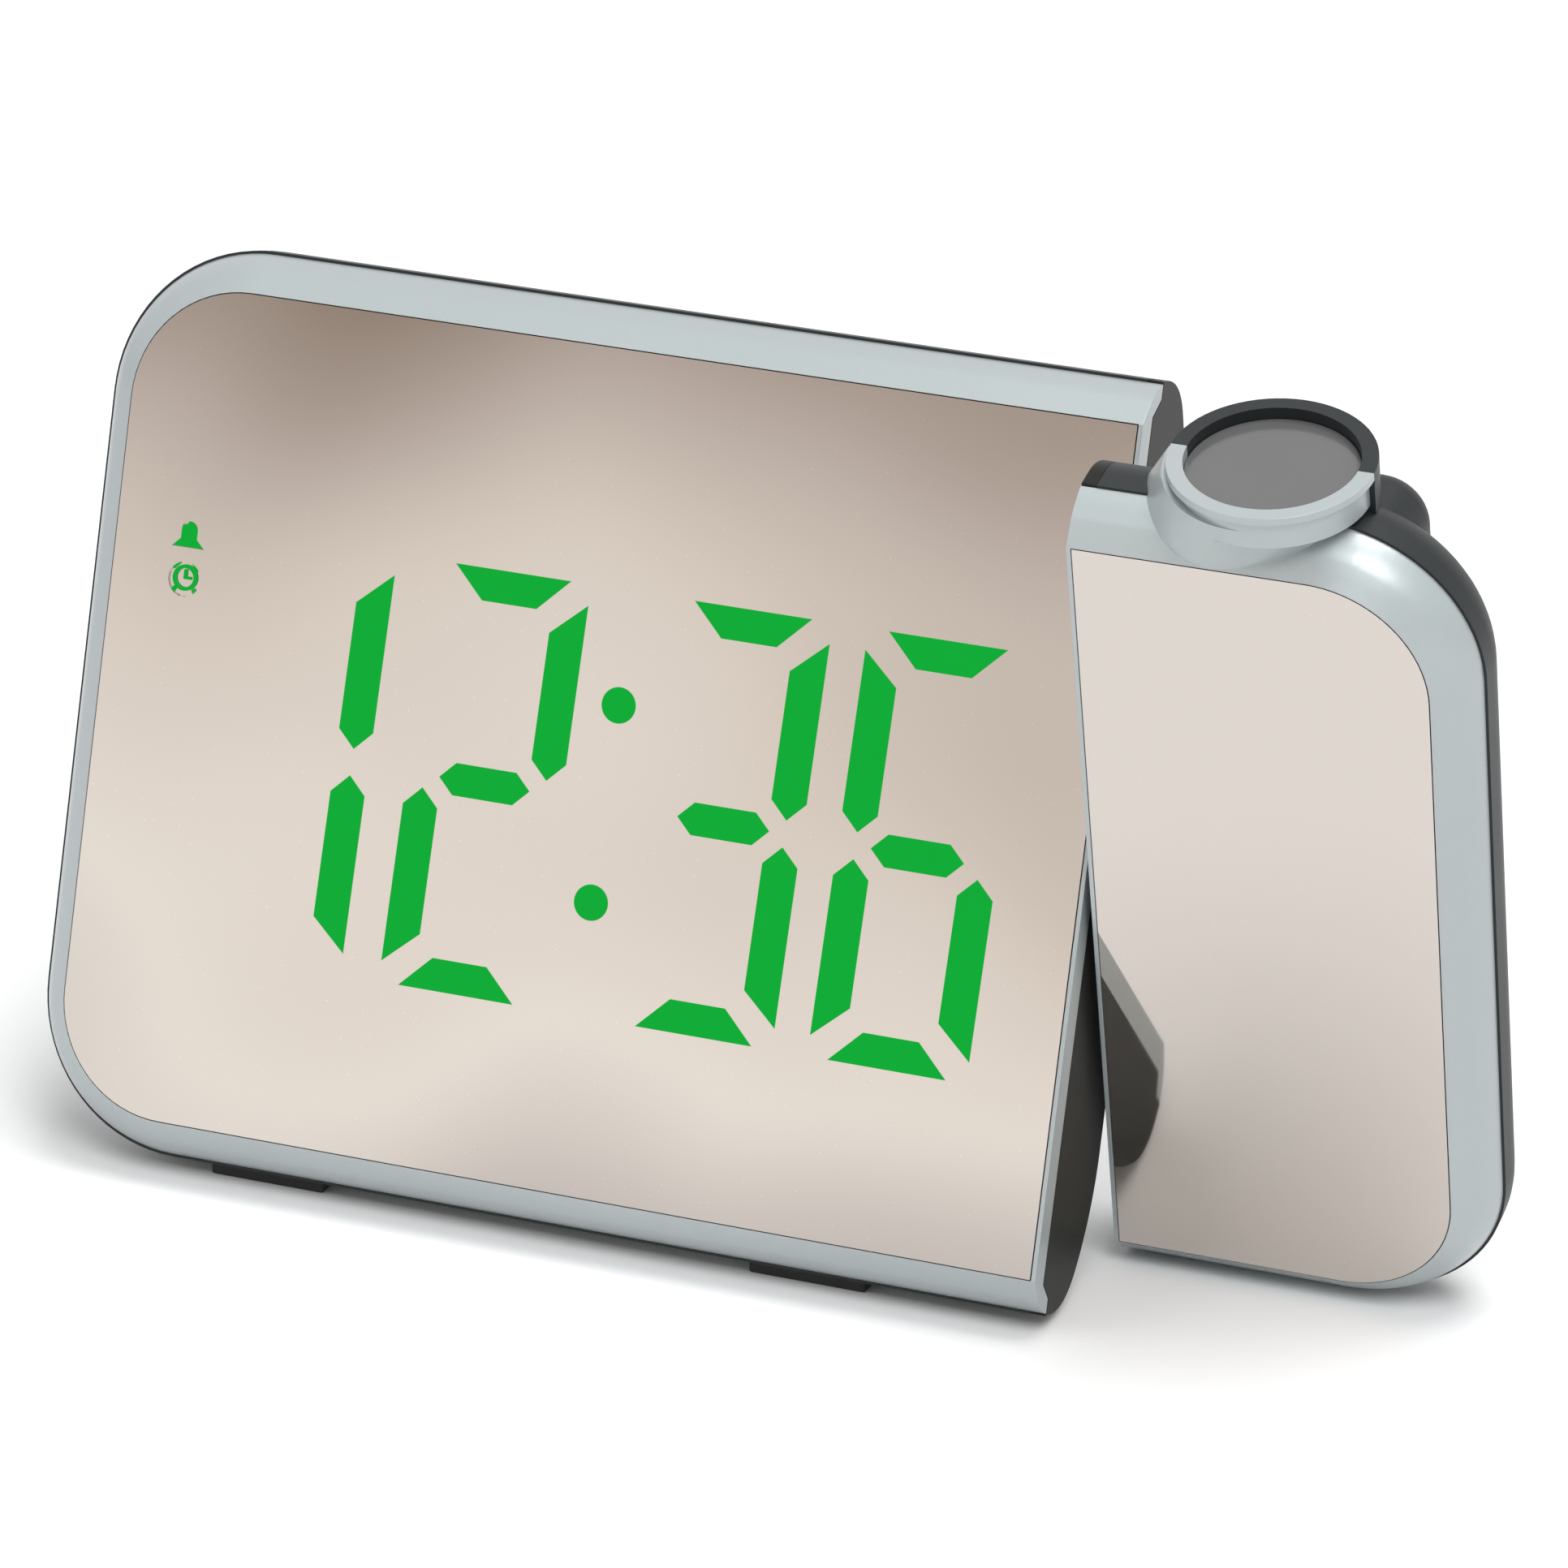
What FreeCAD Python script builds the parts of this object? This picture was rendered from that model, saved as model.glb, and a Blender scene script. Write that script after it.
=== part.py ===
"""Projection alarm clock: a mirror-faced display unit and a projector arm on one hinge.

Both units are drawn closed and upright: X runs along the width from the display unit's
outer edge, Y runs backwards from the mirror face and Z runs up from the housing's bottom
edge. Each unit is then leaned about the hinge axis, so that the two stand as an X, and
the whole clock is centred on the origin with its rubber feet on Z = 0.
"""

import FreeCAD
import Part
import Sketcher
import math
import os

# Driving dimensions, in millimetres and degrees.
SIZES = {
    # Housing of both units
    "housing_height": 104.4,
    "housing_depth": 18.2,
    "display_width": 124.2,
    "arm_width": 44.6,
    "unit_gap": 1.0,
    "corner_radius": 18.0,
    "wall": 1.8,
    # Section of the silver front frame
    "bezel_width": 4.6,
    "bezel_break_depth": 2.0,
    "bezel_break_width": 2.3,
    "bezel_depth": 7.9,
    "parting_depth": 5.6,
    "frame_wall": 1.7,
    "ledge_width": 2.4,
    "ledge_thickness": 1.4,
    "rail_width": 0.5,
    # Section of the black rear shell
    "back_rise": 17.1,
    "back_small_radius": 7.5,
    "plate_overlap": 0.5,
    # Mirror panels and the lit figures in them
    "mirror_thickness": 1.8,
    "mirror_gap": 0.12,
    "figure_depth": 0.3,
    "digit_height": 48.2,
    "digit_width": 18.8,
    "digit_bottom": 25.0,
    "digit_lean": 0.022,
    "segment_width": 4.2,
    "segment_height": 3.7,
    "segment_corner": 2.4,
    "segment_gap": 1.5,
    "colon_spread": 11.2,
    "colon_radius": 2.05,
    "icon_x": 13.7,
    "icon_z": 66.6,
    "icon_radius": 2.0,
    "bell_rise": 5.6,
    # Where the digits' cells and the colon stand, from the display's hinge end
    "hours_tens_left": -104.3,
    "hours_ones_left": -80.8,
    "minutes_tens_left": -52.0,
    "minutes_ones_left": -29.0,
    "colon_x": -56.8,
    # Hinge
    "pivot_height_in_unit": 49.3,
    "unit_lean": 15.75,
    "foot_lift": 0.5,
    "shaft_radius": 3.5,
    "shaft_bore_radius": 2.0,
    "running_clearance": 0.05,
    "bush_radius": 4.8,
    "bush_length": 6.0,
    "bush_flange_radius": 5.7,
    "bush_flange_thickness": 1.2,
    "washer_clearance": 0.1,
    "washer_face_gap": 0.05,
    "spring_washer_thickness": 0.7,
    "clip_radius": 5.2,
    "clip_thickness": 0.8,
    "clip_groove_radius": 2.9,
    "shaft_tail": 1.0,
    "shaft_flange_radius": 5.7,
    "shaft_flange_thickness": 1.5,
    "stop_radius": 6.4,
    "stop_pin_radius": 0.7,
    "stop_clearance": 0.25,
    "stop_groove_depth": 1.0,
    # Rubber feet
    "foot_width": 5.0,
    "display_foot_height": 1.9,
    "arm_foot_height": 1.9,
    "display_foot_setback": 0.0,
    "arm_foot_setback": 2.9,
    "display_foot_length": 14.0,
    "display_foot_edge_gap": 22.0,
    "arm_foot_length": 22.0,
    "arm_foot_edge_gap": 20.0,
    # Electronics in the display unit
    "light_box_margin_x": 10.0,
    "light_box_bottom": 20.0,
    "light_box_top": 80.0,
    "light_box_depth": 5.8,
    "light_box_window_growth": 0.25,
    "board_thickness": 1.4,
    "board_bottom": 15.0,
    "board_top": 88.0,
    "board_end_gap": 8.9,
    "led_size": 2.0,
    "led_height": 0.8,
    "switch_size": 6.0,
    "switch_height": 3.4,
    "switch_nub_radius": 1.7,
    "switch_nub_height": 0.6,
    "chip_height": 1.4,
    "chip_offset": 16.0,
    "main_chip_size": 10.0,
    "main_chip_rise": 6.0,
    "clock_chip_offset": 14.0,
    "clock_chip_width": 6.0,
    "clock_chip_height": 5.0,
    "clock_chip_drop": 2.0,
    "driver_chip_width": 7.0,
    "driver_chip_height": 3.0,
    "driver_chip_drop": 8.0,
    "power_chip_width": 8.0,
    "power_chip_height": 5.0,
    "power_chip_drop": 4.0,
    "buzzer_radius": 6.0,
    "buzzer_height": 5.5,
    "buzzer_x": 82.0,
    "buzzer_z": 50.0,
    "vent_radius": 0.8,
    "vent_circle_radius": 3.6,
    "cell_x": 42.0,
    "cell_z": 46.0,
    "cell_radius": 10.0,
    "cell_thickness": 3.2,
    "cell_clearance": 0.2,
    "holder_wall": 1.6,
    "holder_floor": 0.8,
    "door_radius": 12.2,
    "door_thickness": 1.1,
    "door_clearance": 0.25,
    "door_ledge": 1.6,
    "door_slot_width": 2.0,
    "door_slot_length": 13.0,
    "door_slot_depth": 0.6,
    "door_skirt_height": 1.9,
    "door_skirt_thickness": 1.2,
    # Push buttons on the back
    "button_width": 9.0,
    "button_height": 5.0,
    "button_corner": 2.2,
    "button_clearance": 0.3,
    "button_proud": 0.8,
    "button_flange": 0.9,
    "button_flange_thickness": 1.2,
    "button_flange_gap": 0.1,
    "button_travel": 0.6,
    "button_stem_radius": 1.5,
    "button_row_z": 78.0,
    "button_row_start": 34.0,
    "button_pitch": 13.0,
    # Sockets on the back
    "inlet_x": 104.0,
    "inlet_z": 28.0,
    "inlet_width": 9.0,
    "inlet_height": 3.3,
    "inlet_wall": 0.35,
    "outlet_x": 84.0,
    "outlet_z": 29.0,
    "outlet_width": 13.2,
    "outlet_height": 5.8,
    "outlet_wall": 0.4,
    "socket_setback": 0.4,
    "socket_floor": 3.0,
    "socket_clearance": 0.2,
    "inlet_tongue_width": 6.6,
    "inlet_tongue_height": 0.7,
    "outlet_tongue_width": 11.0,
    "outlet_tongue_height": 1.8,
    "outlet_tongue_offset": 0.9,
    "tongue_setback": 0.7,
    # Projector head
    "barrel_inset": 24.1,
    "barrel_radius": 11.3,
    "barrel_rise": 4.4,
    "barrel_bore_radius": 9.5,
    "barrel_bore_depth": 4.2,
    "lip_height": 0.9,
    "band_radius": 10.7,
    "band_front_drop": 2.3,
    "band_side_drop": 0.4,
    "saddle_left_reach": 16.9,
    "saddle_right_reach": 8.4,
    "saddle_front": 0.1,
    "hump_half_width": 14.3,
    "hump_corner": 5.5,
    "hump_proud": 2.6,
    "hump_edge_radius": 3.6,
    "tube_radius": 6.6,
    "tube_bore_radius": 5.6,
    "tube_clearance": 0.1,
    "window_thickness": 1.2,
    "window_recess": 1.4,
    "lens_radius": 5.55,
    "lens_edge": 1.2,
    "lens_bulge": 1.5,
    "slide_size": 7.2,
    "slide_thickness": 1.1,
    "slide_frame_thickness": 1.6,
    "projector_board_width": 15.0,
    "projector_board_depth": 12.6,
    "projector_led_radius": 2.5,
    "projector_led_height": 4.2,
    # Focus knob on the hump
    "focus_knob_radius": 6.0,
    "focus_knob_proud": 3.2,
    "focus_gap": 0.15,
    "focus_stem_radius": 2.4,
    "focus_grip_depth": 0.45,
    # Heights in the projector head, from the housing's top edge
    "hump_top": -2.3,
    "front_lens_z": -7.4,
    "focus_z": -16.4,
    "slide_z": -18.9,
    "condenser_z": -23.4,
    "tube_bottom": -30.4,
    "hump_bottom": -38.4,
    "projector_button_z": -52.4,
    # Screws
    "screw_inset": 7.5,
    "screw_edge_gap": 20.0,
    "screw_shank_radius": 1.2,
    "screw_head_radius": 2.3,
    "screw_head_height": 1.5,
    "screw_head_front": 13.2,
    "screw_length": 8.0,
    "screw_counterbore_radius": 2.6,
    "post_radius": 2.9,
    "post_joint_depth": 9.6,
    "post_back_depth": 14.8,
    "arm_screw_z": 48.0,
    # Pegs that carry the arm's switch board
    "peg_spread": 7.0,
    "peg_radius": 1.5,
}

SHEET_NAME = "Sizes"
REAR_BUTTONS = ("set_button", "alarm_button", "down_button", "up_button", "snooze_button")

# Segments of a seven-bar digit: top, upper right, lower right, bottom, lower left, upper
# left, middle.
LIT_BARS = {"1": "bc", "2": "abged", "3": "abgcd", "6": "afgedc"}
SHOWN_TIME = "1236"
FOCUS_RIBS = 24


class Dim:
    """A size with its present value and the spreadsheet expression that drives it."""

    def __init__(self, value, text):
        self.value = float(value)
        self.text = text

    @staticmethod
    def of(item):
        """Return item as a Dim: a plain number becomes a constant."""
        return item if isinstance(item, Dim) else Dim(item, repr(float(item)))

    def join(self, other, sign, value):
        """Return the Dim of this size and another under an arithmetic sign."""
        return Dim(value, f"({self.text} {sign} {Dim.of(other).text})")

    def __add__(self, other):
        return self.join(other, "+", self.value + Dim.of(other).value)

    def __radd__(self, other):
        return Dim.of(other) + self

    def __sub__(self, other):
        return self.join(other, "-", self.value - Dim.of(other).value)

    def __rsub__(self, other):
        return Dim.of(other) - self

    def __mul__(self, other):
        return self.join(other, "*", self.value * Dim.of(other).value)

    def __rmul__(self, other):
        return Dim.of(other) * self

    def __truediv__(self, other):
        return self.join(other, "/", self.value / Dim.of(other).value)

    def __neg__(self):
        return Dim(-self.value, f"(0 - {self.text})")

    def root(self):
        """Return the square root of this size."""
        return Dim(math.sqrt(self.value), f"sqrt({self.text})")

    def sine(self):
        """Return the sine of this angle, held in degrees."""
        return Dim(math.sin(math.radians(self.value)), f"sin({self.text} * 1 deg)")

    def cosine(self):
        """Return the cosine of this angle, held in degrees."""
        return Dim(math.cos(math.radians(self.value)), f"cos({self.text} * 1 deg)")


class SizeSheet:
    """The spreadsheet of driving dimensions, read as attributes that are Dims."""

    def __init__(self, document, sizes):
        self.sheet = document.addObject("Spreadsheet::Sheet", SHEET_NAME)
        for row, (name, value) in enumerate(sizes.items(), start=1):
            self.sheet.set(f"A{row}", name)
            self.sheet.set(f"B{row}", str(value))
            self.sheet.setAlias(f"B{row}", name)
            setattr(self, name, Dim(value, f"{SHEET_NAME}.{name}"))
        document.recompute()


doc = FreeCAD.newDocument("ProjectionClock")
S = SizeSheet(doc, SIZES)

# Sizes that follow from the driving ones
ARM_START = S.display_width + S.unit_gap
OVERALL_WIDTH = ARM_START + S.arm_width
PIVOT_Y = S.housing_depth / 2
PIVOT_Z = S.pivot_height_in_unit
CASE_BACK = S.housing_depth - S.wall
LEDGE_BACK = S.mirror_thickness + S.ledge_thickness
BOARD_FRONT = S.mirror_thickness + S.light_box_depth
BOARD_BACK = BOARD_FRONT + S.board_thickness
BOARD_END = S.display_width - S.board_end_gap
BARREL_X = OVERALL_WIDTH - S.barrel_inset
RIM_TOP = S.housing_height + S.barrel_rise

# Heights in the projector head
HUMP_TOP = S.housing_height + S.hump_top
HUMP_BOTTOM = S.housing_height + S.hump_bottom
FRONT_LENS_Z = S.housing_height + S.front_lens_z
CONDENSER_Z = S.housing_height + S.condenser_z
SLIDE_Z = S.housing_height + S.slide_z
TUBE_BOTTOM = S.housing_height + S.tube_bottom
FOCUS_Z = S.housing_height + S.focus_z
PROJECTOR_BUTTON_Z = S.housing_height + S.projector_button_z

# The bezel's convex face: an arc that is tangent to the housing's outer edge
BEZEL_RUN = S.bezel_depth - S.bezel_break_depth
BEZEL_RADIUS = (BEZEL_RUN * BEZEL_RUN + S.bezel_break_width * S.bezel_break_width) / (
    2 * S.bezel_break_width
)
PARTING_RUN = S.bezel_depth - S.parting_depth
PARTING_WIDTH = BEZEL_RADIUS - (BEZEL_RADIUS * BEZEL_RADIUS - PARTING_RUN * PARTING_RUN).root()

# The rear shell's rounding: a small arc at the edge, tangent to a large one to the back
BACK_RUN = S.housing_depth - S.bezel_depth
BACK_CENTRE_RISE = S.back_rise - S.back_small_radius
BACK_LARGE_RADIUS = (
    BACK_RUN * BACK_RUN
    + BACK_CENTRE_RISE * BACK_CENTRE_RISE
    - S.back_small_radius * S.back_small_radius
) / (2 * (BACK_RUN - S.back_small_radius))
LARGE_CENTRE_Y = S.housing_depth - BACK_LARGE_RADIUS
TANGENT_Y = (S.bezel_depth - LARGE_CENTRE_Y) / (BACK_LARGE_RADIUS - S.back_small_radius)
TANGENT_Z = (S.back_small_radius - S.back_rise) / (BACK_LARGE_RADIUS - S.back_small_radius)

PLANES = {"x": "YZ_Plane", "y": "XZ_Plane", "z": "XY_Plane"}
ZERO = 1e-9


class Arc:
    """A corner point reached from the last one by an arc whose centre is on one side."""

    def __init__(self, u, v, radius, side):
        self.point = (Dim.of(u), Dim.of(v))
        self.radius = Dim.of(radius)
        self.side = side


class Circle:
    """A whole circle in a sketch."""

    def __init__(self, u, v, radius):
        self.point = (Dim.of(u), Dim.of(v))
        self.radius = Dim.of(radius)


def corner_of(item):
    """Return the point of an outline's corner, given plainly or as an Arc."""
    return item.point if isinstance(item, Arc) else (Dim.of(item[0]), Dim.of(item[1]))


def vector(point):
    """Return a sketch point as a flat vector."""
    return FreeCAD.Vector(point[0].value, point[1].value, 0)


def arc_geometry(start, end, radius, side):
    """Return the minor arc from start to end, with its centre left (+1) or right (-1)."""
    chord = end - start
    half = chord.Length / 2
    rise = math.sqrt(max(radius * radius - half * half, 0.0))
    normal = FreeCAD.Vector(-chord.y, chord.x, 0).normalize() * side
    centre = start + chord / 2 + normal * rise
    first = math.atan2(start.y - centre.y, start.x - centre.x)
    last = math.atan2(end.y - centre.y, end.x - centre.x)
    if side < 0:
        first, last = last, first
    return Part.ArcOfCircle(Part.Circle(centre, FreeCAD.Vector(0, 0, 1), radius), first, last)


class Drawing:
    """The edges and constraints of one sketch, gathered before they are put in it."""

    def __init__(self):
        self.edges = []
        self.constraints = []
        self.driven = []

    def bind(self, kind, ends, size):
        """Add a sized constraint that the spreadsheet drives."""
        self.driven.append((len(self.constraints), size.text))
        self.constraints.append(Sketcher.Constraint(kind, *ends, size.value))

    def bind_point(self, edge, end, point):
        """Fix a point by its two coordinates."""
        for kind, axis_line, size in (("DistanceX", -2, point[0]), ("DistanceY", -1, point[1])):
            if abs(size.value) < ZERO:
                on_axis = Sketcher.Constraint("PointOnObject", edge, end, axis_line)
                self.constraints.append(on_axis)
            else:
                self.bind(kind, (-1, 1, edge, end), size)

    def edge(self, shape):
        """Add an edge and return its number."""
        self.edges.append(shape)
        return len(self.edges) - 1

    def circle(self, circle):
        """Draw a circle with its centre and radius fixed."""
        shape = Part.Circle(vector(circle.point), FreeCAD.Vector(0, 0, 1), circle.radius.value)
        edge = self.edge(shape)
        self.bind_point(edge, 3, circle.point)
        self.bind("Radius", (edge,), circle.radius)

    def outline(self, corners, closed):
        """Draw straight and round edges through the corners, in order."""
        points = [corner_of(item) for item in corners]
        count = len(corners) if closed else len(corners) - 1
        starts, ends = [], []
        for index in range(count):
            following = corners[(index + 1) % len(corners)]
            start, end = vector(points[index]), vector(corner_of(following))
            forward = True
            if isinstance(following, Arc):
                radius = following.radius
                edge = self.edge(arc_geometry(start, end, radius.value, following.side))
                self.bind("Radius", (edge,), radius)
                forward = following.side > 0
            else:
                edge = self.edge(Part.LineSegment(start, end))
            starts.append((edge, 1 if forward else 2))
            ends.append((edge, 2 if forward else 1))
        for index in range(count):
            self.bind_point(*starts[index], points[index])
            if closed or index + 1 < count:
                joined = (*ends[index], *starts[(index + 1) % count])
                self.constraints.append(Sketcher.Constraint("Coincident", *joined))
        if not closed:
            self.bind_point(*ends[-1], points[-1])

    def put_in(self, sketch):
        """Put the edges and constraints in a sketch and bind its sizes to the sheet."""
        sketch.addGeometry(self.edges, False)
        sketch.addConstraint(self.constraints)
        for index, text in self.driven:
            sketch.setExpression(f"Constraints[{index}]", text)


class Piece:
    """One named sub-part, built as a body of sketched features."""

    def __init__(self, label):
        self.label = label
        self.body = doc.addObject("PartDesign::Body", label)
        self.body.Label = label
        self.body.AllowCompound = True
        self.count = 0

    def feature(self, kind):
        """Return a new feature of this body with a name of its own."""
        self.count += 1
        short = kind.split("::")[-1]
        return self.body.newObject(kind, f"{self.label}_{short}_{self.count}")

    def sketch(self, axis, offset, loops, closed=True):
        """Return a sketch square to an axis, at a place along it, holding the loops."""
        made = self.feature("Sketcher::SketchObject")
        role = PLANES[axis]
        plane = [item for item in self.body.Origin.OriginFeatures if item.Role == role][0]
        made.AttachmentSupport = [(plane, "")]
        made.MapMode = "FlatFace"
        along = -Dim.of(offset) if axis == "y" else Dim.of(offset)
        made.AttachmentOffset = FreeCAD.Placement(
            FreeCAD.Vector(0, 0, along.value), FreeCAD.Rotation()
        )
        made.setExpression(".AttachmentOffset.Base.z", along.text)
        drawing = Drawing()
        for loop in loops:
            if isinstance(loop, Circle):
                drawing.circle(loop)
            else:
                drawing.outline(loop, closed)
        drawing.put_in(made)
        return made

    def add(self, axis, low, high, *loops):
        """Add material between two places along an axis, inside the loops."""
        sketch = self.sketch(axis, low, loops)
        pad = self.feature("PartDesign::Pad")
        pad.Profile = sketch
        length = Dim.of(high) - low
        pad.setExpression("Length", length.text)
        pad.Reversed = axis == "y"
        return pad

    def cut(self, axis, low, high, *loops):
        """Remove material between two places along an axis, inside the loops."""
        start = low if axis == "y" else high
        sketch = self.sketch(axis, start, loops)
        pocket = self.feature("PartDesign::Pocket")
        pocket.Profile = sketch
        length = Dim.of(high) - low
        pocket.setExpression("Length", length.text)
        return pocket

    def sweep(self, axis, place, section, path):
        """Run a section along an open path that lies square to Y."""
        profile = self.sketch(axis, place, [section])
        route = self.sketch("y", 0, [path], closed=False)
        pipe = self.feature("PartDesign::AdditivePipe")
        pipe.Profile = profile
        pipe.Spine = (route, [])
        return pipe

    def loft(self, low, high, low_loop, high_loop):
        """Add a straight-sided form between two loops at two heights."""
        first = self.sketch("z", low, [low_loop])
        second = self.sketch("z", high, [high_loop])
        made = self.feature("PartDesign::AdditiveLoft")
        made.Profile = first
        made.Sections = [(second, [""])]
        made.Ruled = True
        return made

    def turn(self, place, centre, low, high, section):
        """Turn a section drawn square to X about an upright line at a centre along Y."""
        profile = self.sketch("x", place, [section])
        axis_line = Drawing()
        ends = [(centre, Dim.of(low)), (centre, Dim.of(high))]
        line = Part.LineSegment(vector(ends[0]), vector(ends[1]))
        edge = profile.addGeometry(line, True)
        for end, point in enumerate(ends, start=1):
            axis_line.bind_point(edge, end, point)
        first = profile.ConstraintCount
        profile.addConstraint(axis_line.constraints)
        for index, text in axis_line.driven:
            profile.setExpression(f"Constraints[{first + index}]", text)
        made = self.feature("PartDesign::Revolution")
        made.Profile = profile
        made.ReferenceAxis = (profile, ["Axis0"])
        made.Angle = 360
        return made

    def round_edges(self, radius, chosen):
        """Round the edges that the test picks, by a radius from the sheet."""
        doc.recompute()
        base = self.body.Tip
        names = [f"Edge{i}" for i, e in enumerate(base.Shape.Edges, start=1) if chosen(e)]
        made = self.feature("PartDesign::Fillet")
        made.Base = (base, names)
        made.Radius = Dim.of(radius).value
        made.setExpression("Radius", Dim.of(radius).text)
        return made


class Unit:
    """One of the two housings: where it starts, where it ends and which way it faces."""

    def __init__(self, inner, outer, hand, lean):
        self.inner = Dim.of(inner)
        self.outer = Dim.of(outer)
        self.hand = hand
        self.lean = lean

    def inward(self, distance):
        """Return the place along X at a distance in from the outer edge."""
        return self.outer + self.hand * distance

    def path(self, end):
        """Return the open line round the outer edge, from one end wall to itself."""
        radius, top = S.corner_radius, S.housing_height
        return [
            (end, 0),
            (self.inward(radius), 0),
            Arc(self.outer, radius, radius, -self.hand),
            (self.outer, top - radius),
            Arc(self.inward(radius), top, radius, -self.hand),
            (end, top),
        ]

    def panel(self, inset, end):
        """Return the closed outline at an inset from the outer edge, square at its end."""
        radius, top = S.corner_radius - inset, S.housing_height - inset
        corner = S.corner_radius
        return [
            (end, inset),
            (self.inward(corner), inset),
            Arc(self.inward(inset), corner, radius, -self.hand),
            (self.inward(inset), S.housing_height - corner),
            Arc(self.inward(corner), top, radius, -self.hand),
            (end, top),
        ]


DISPLAY = Unit(S.display_width, Dim(0, "0"), 1, -1)
ARM = Unit(ARM_START, OVERALL_WIDTH, -1, 1)


def box_loop(left, bottom, right, top):
    """Return a rectangle's corners."""
    return [(left, bottom), (right, bottom), (right, top), (left, top)]


def rounded_box(left, bottom, right, top, radius):
    """Return a rectangle's outline with round corners."""
    return [
        Arc(left + radius, bottom, radius, 1),
        (right - radius, bottom),
        Arc(right, bottom + radius, radius, 1),
        (right, top - radius),
        Arc(right - radius, top, radius, 1),
        (left + radius, top),
        Arc(left, top - radius, radius, 1),
        (left, bottom + radius),
    ]


def centred(x, z, width, height):
    """Return a rectangle's corners about its centre."""
    return box_loop(x - width / 2, z - height / 2, x + width / 2, z + height / 2)


def rear_corner(inset):
    """Return the shell's rounding from its edge to its back, at an inset from outside."""
    reach = BACK_LARGE_RADIUS - inset
    return [
        (S.bezel_depth, inset),
        Arc(
            LARGE_CENTRE_Y + reach * TANGENT_Y,
            S.back_rise + reach * TANGENT_Z,
            S.back_small_radius - inset,
            1,
        ),
        Arc(S.housing_depth - inset, S.back_rise, reach, 1),
    ]


def backwards(corners):
    """Return an open run of corners in the other direction, with its arcs turned."""
    points = [corner_of(item) for item in corners]
    made = [points[-1]]
    for index in range(len(corners) - 1, 0, -1):
        item = corners[index]
        before = points[index - 1]
        made.append(Arc(*before, item.radius, -item.side) if isinstance(item, Arc) else before)
    return made


def frame_section():
    """Return the front frame's section: convex bezel outside, ledge for the mirror inside."""
    return [
        (0, S.bezel_width),
        (S.bezel_break_depth, S.bezel_break_width),
        Arc(S.parting_depth, PARTING_WIDTH, BEZEL_RADIUS, 1),
        (S.parting_depth, PARTING_WIDTH + S.frame_wall),
        (LEDGE_BACK, S.bezel_width - S.ledge_thickness / 2),
        (LEDGE_BACK, S.bezel_width + S.ledge_width),
        (S.mirror_thickness, S.bezel_width + S.ledge_width),
        (S.mirror_thickness, S.bezel_width),
    ]


def shell_section():
    """Return the rear shell's section round its edge: round outside, ruled flats inside."""
    lap = S.back_rise + S.plate_overlap
    outer = [(S.parting_depth, 0)] + rear_corner(Dim(0, "0")) + [(S.housing_depth, lap)]
    inner = [(S.parting_depth, S.wall)] + [corner_of(item) for item in rear_corner(S.wall)]
    return outer + backwards(inner + [(CASE_BACK, lap)])


def end_wall_outline():
    """Return the outline of an end wall, seen along X, behind the frame's silver edge."""
    top = S.housing_height
    front = S.bezel_width - S.ledge_thickness / 2
    low = [(LEDGE_BACK, front), (S.parting_depth, PARTING_WIDTH + S.frame_wall)]
    low += [(S.parting_depth, 0)] + rear_corner(Dim(0, "0"))
    return low + mirrored_run(low, top)


def mirrored_run(corners, top):
    """Return a run of corners turned upside down and taken in the other direction."""
    run = backwards(corners)
    made = []
    for item in run:
        point = corner_of(item)
        turned = (point[0], top - point[1])
        made.append(Arc(*turned, item.radius, -item.side) if isinstance(item, Arc) else turned)
    return made


def screw_places(unit):
    """Return where a unit's case screws stand, as (x, z) pairs."""
    low, high = S.screw_inset, S.housing_height - S.screw_inset
    if unit is DISPLAY:
        near, far = S.screw_edge_gap, S.display_width - S.screw_edge_gap
        return [(near, low), (far, low), (near, high), (far, high)]
    return [(unit.inward(S.screw_edge_gap), low), (unit.inward(S.screw_inset), S.arm_screw_z)]


def front_frame(label, unit):
    """Build a silver front frame with its mirror ledge, end rail and screw posts."""
    piece = Piece(label)
    piece.sweep("x", unit.inner, frame_section(), unit.path(unit.inner))
    low, high = S.bezel_width, S.housing_height - S.bezel_width
    rail = unit.inner - unit.hand * S.rail_width
    ledge = rail - unit.hand * S.ledge_width
    edges = sorted((unit.inner, rail), key=lambda size: size.value)
    piece.add("y", 0, LEDGE_BACK, box_loop(edges[0], low, edges[1], high))
    edges = sorted((unit.inner, ledge), key=lambda size: size.value)
    piece.add("y", S.mirror_thickness, LEDGE_BACK, box_loop(edges[0], low, edges[1], high))
    posts = [Circle(x, z, S.post_radius) for x, z in screw_places(unit)]
    piece.add("y", S.mirror_thickness, S.post_joint_depth, *posts)
    holes = [Circle(x, z, S.screw_shank_radius) for x, z in screw_places(unit)]
    piece.cut("y", LEDGE_BACK, S.post_joint_depth, *holes)
    return piece


def mirror_panel(label, unit):
    """Build a mirror panel that lies flush in its frame."""
    piece = Piece(label)
    end = unit.inner - unit.hand * (S.rail_width + S.mirror_gap)
    piece.add("y", 0, S.mirror_thickness, unit.panel(S.bezel_width + S.mirror_gap, end))
    return piece


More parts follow.
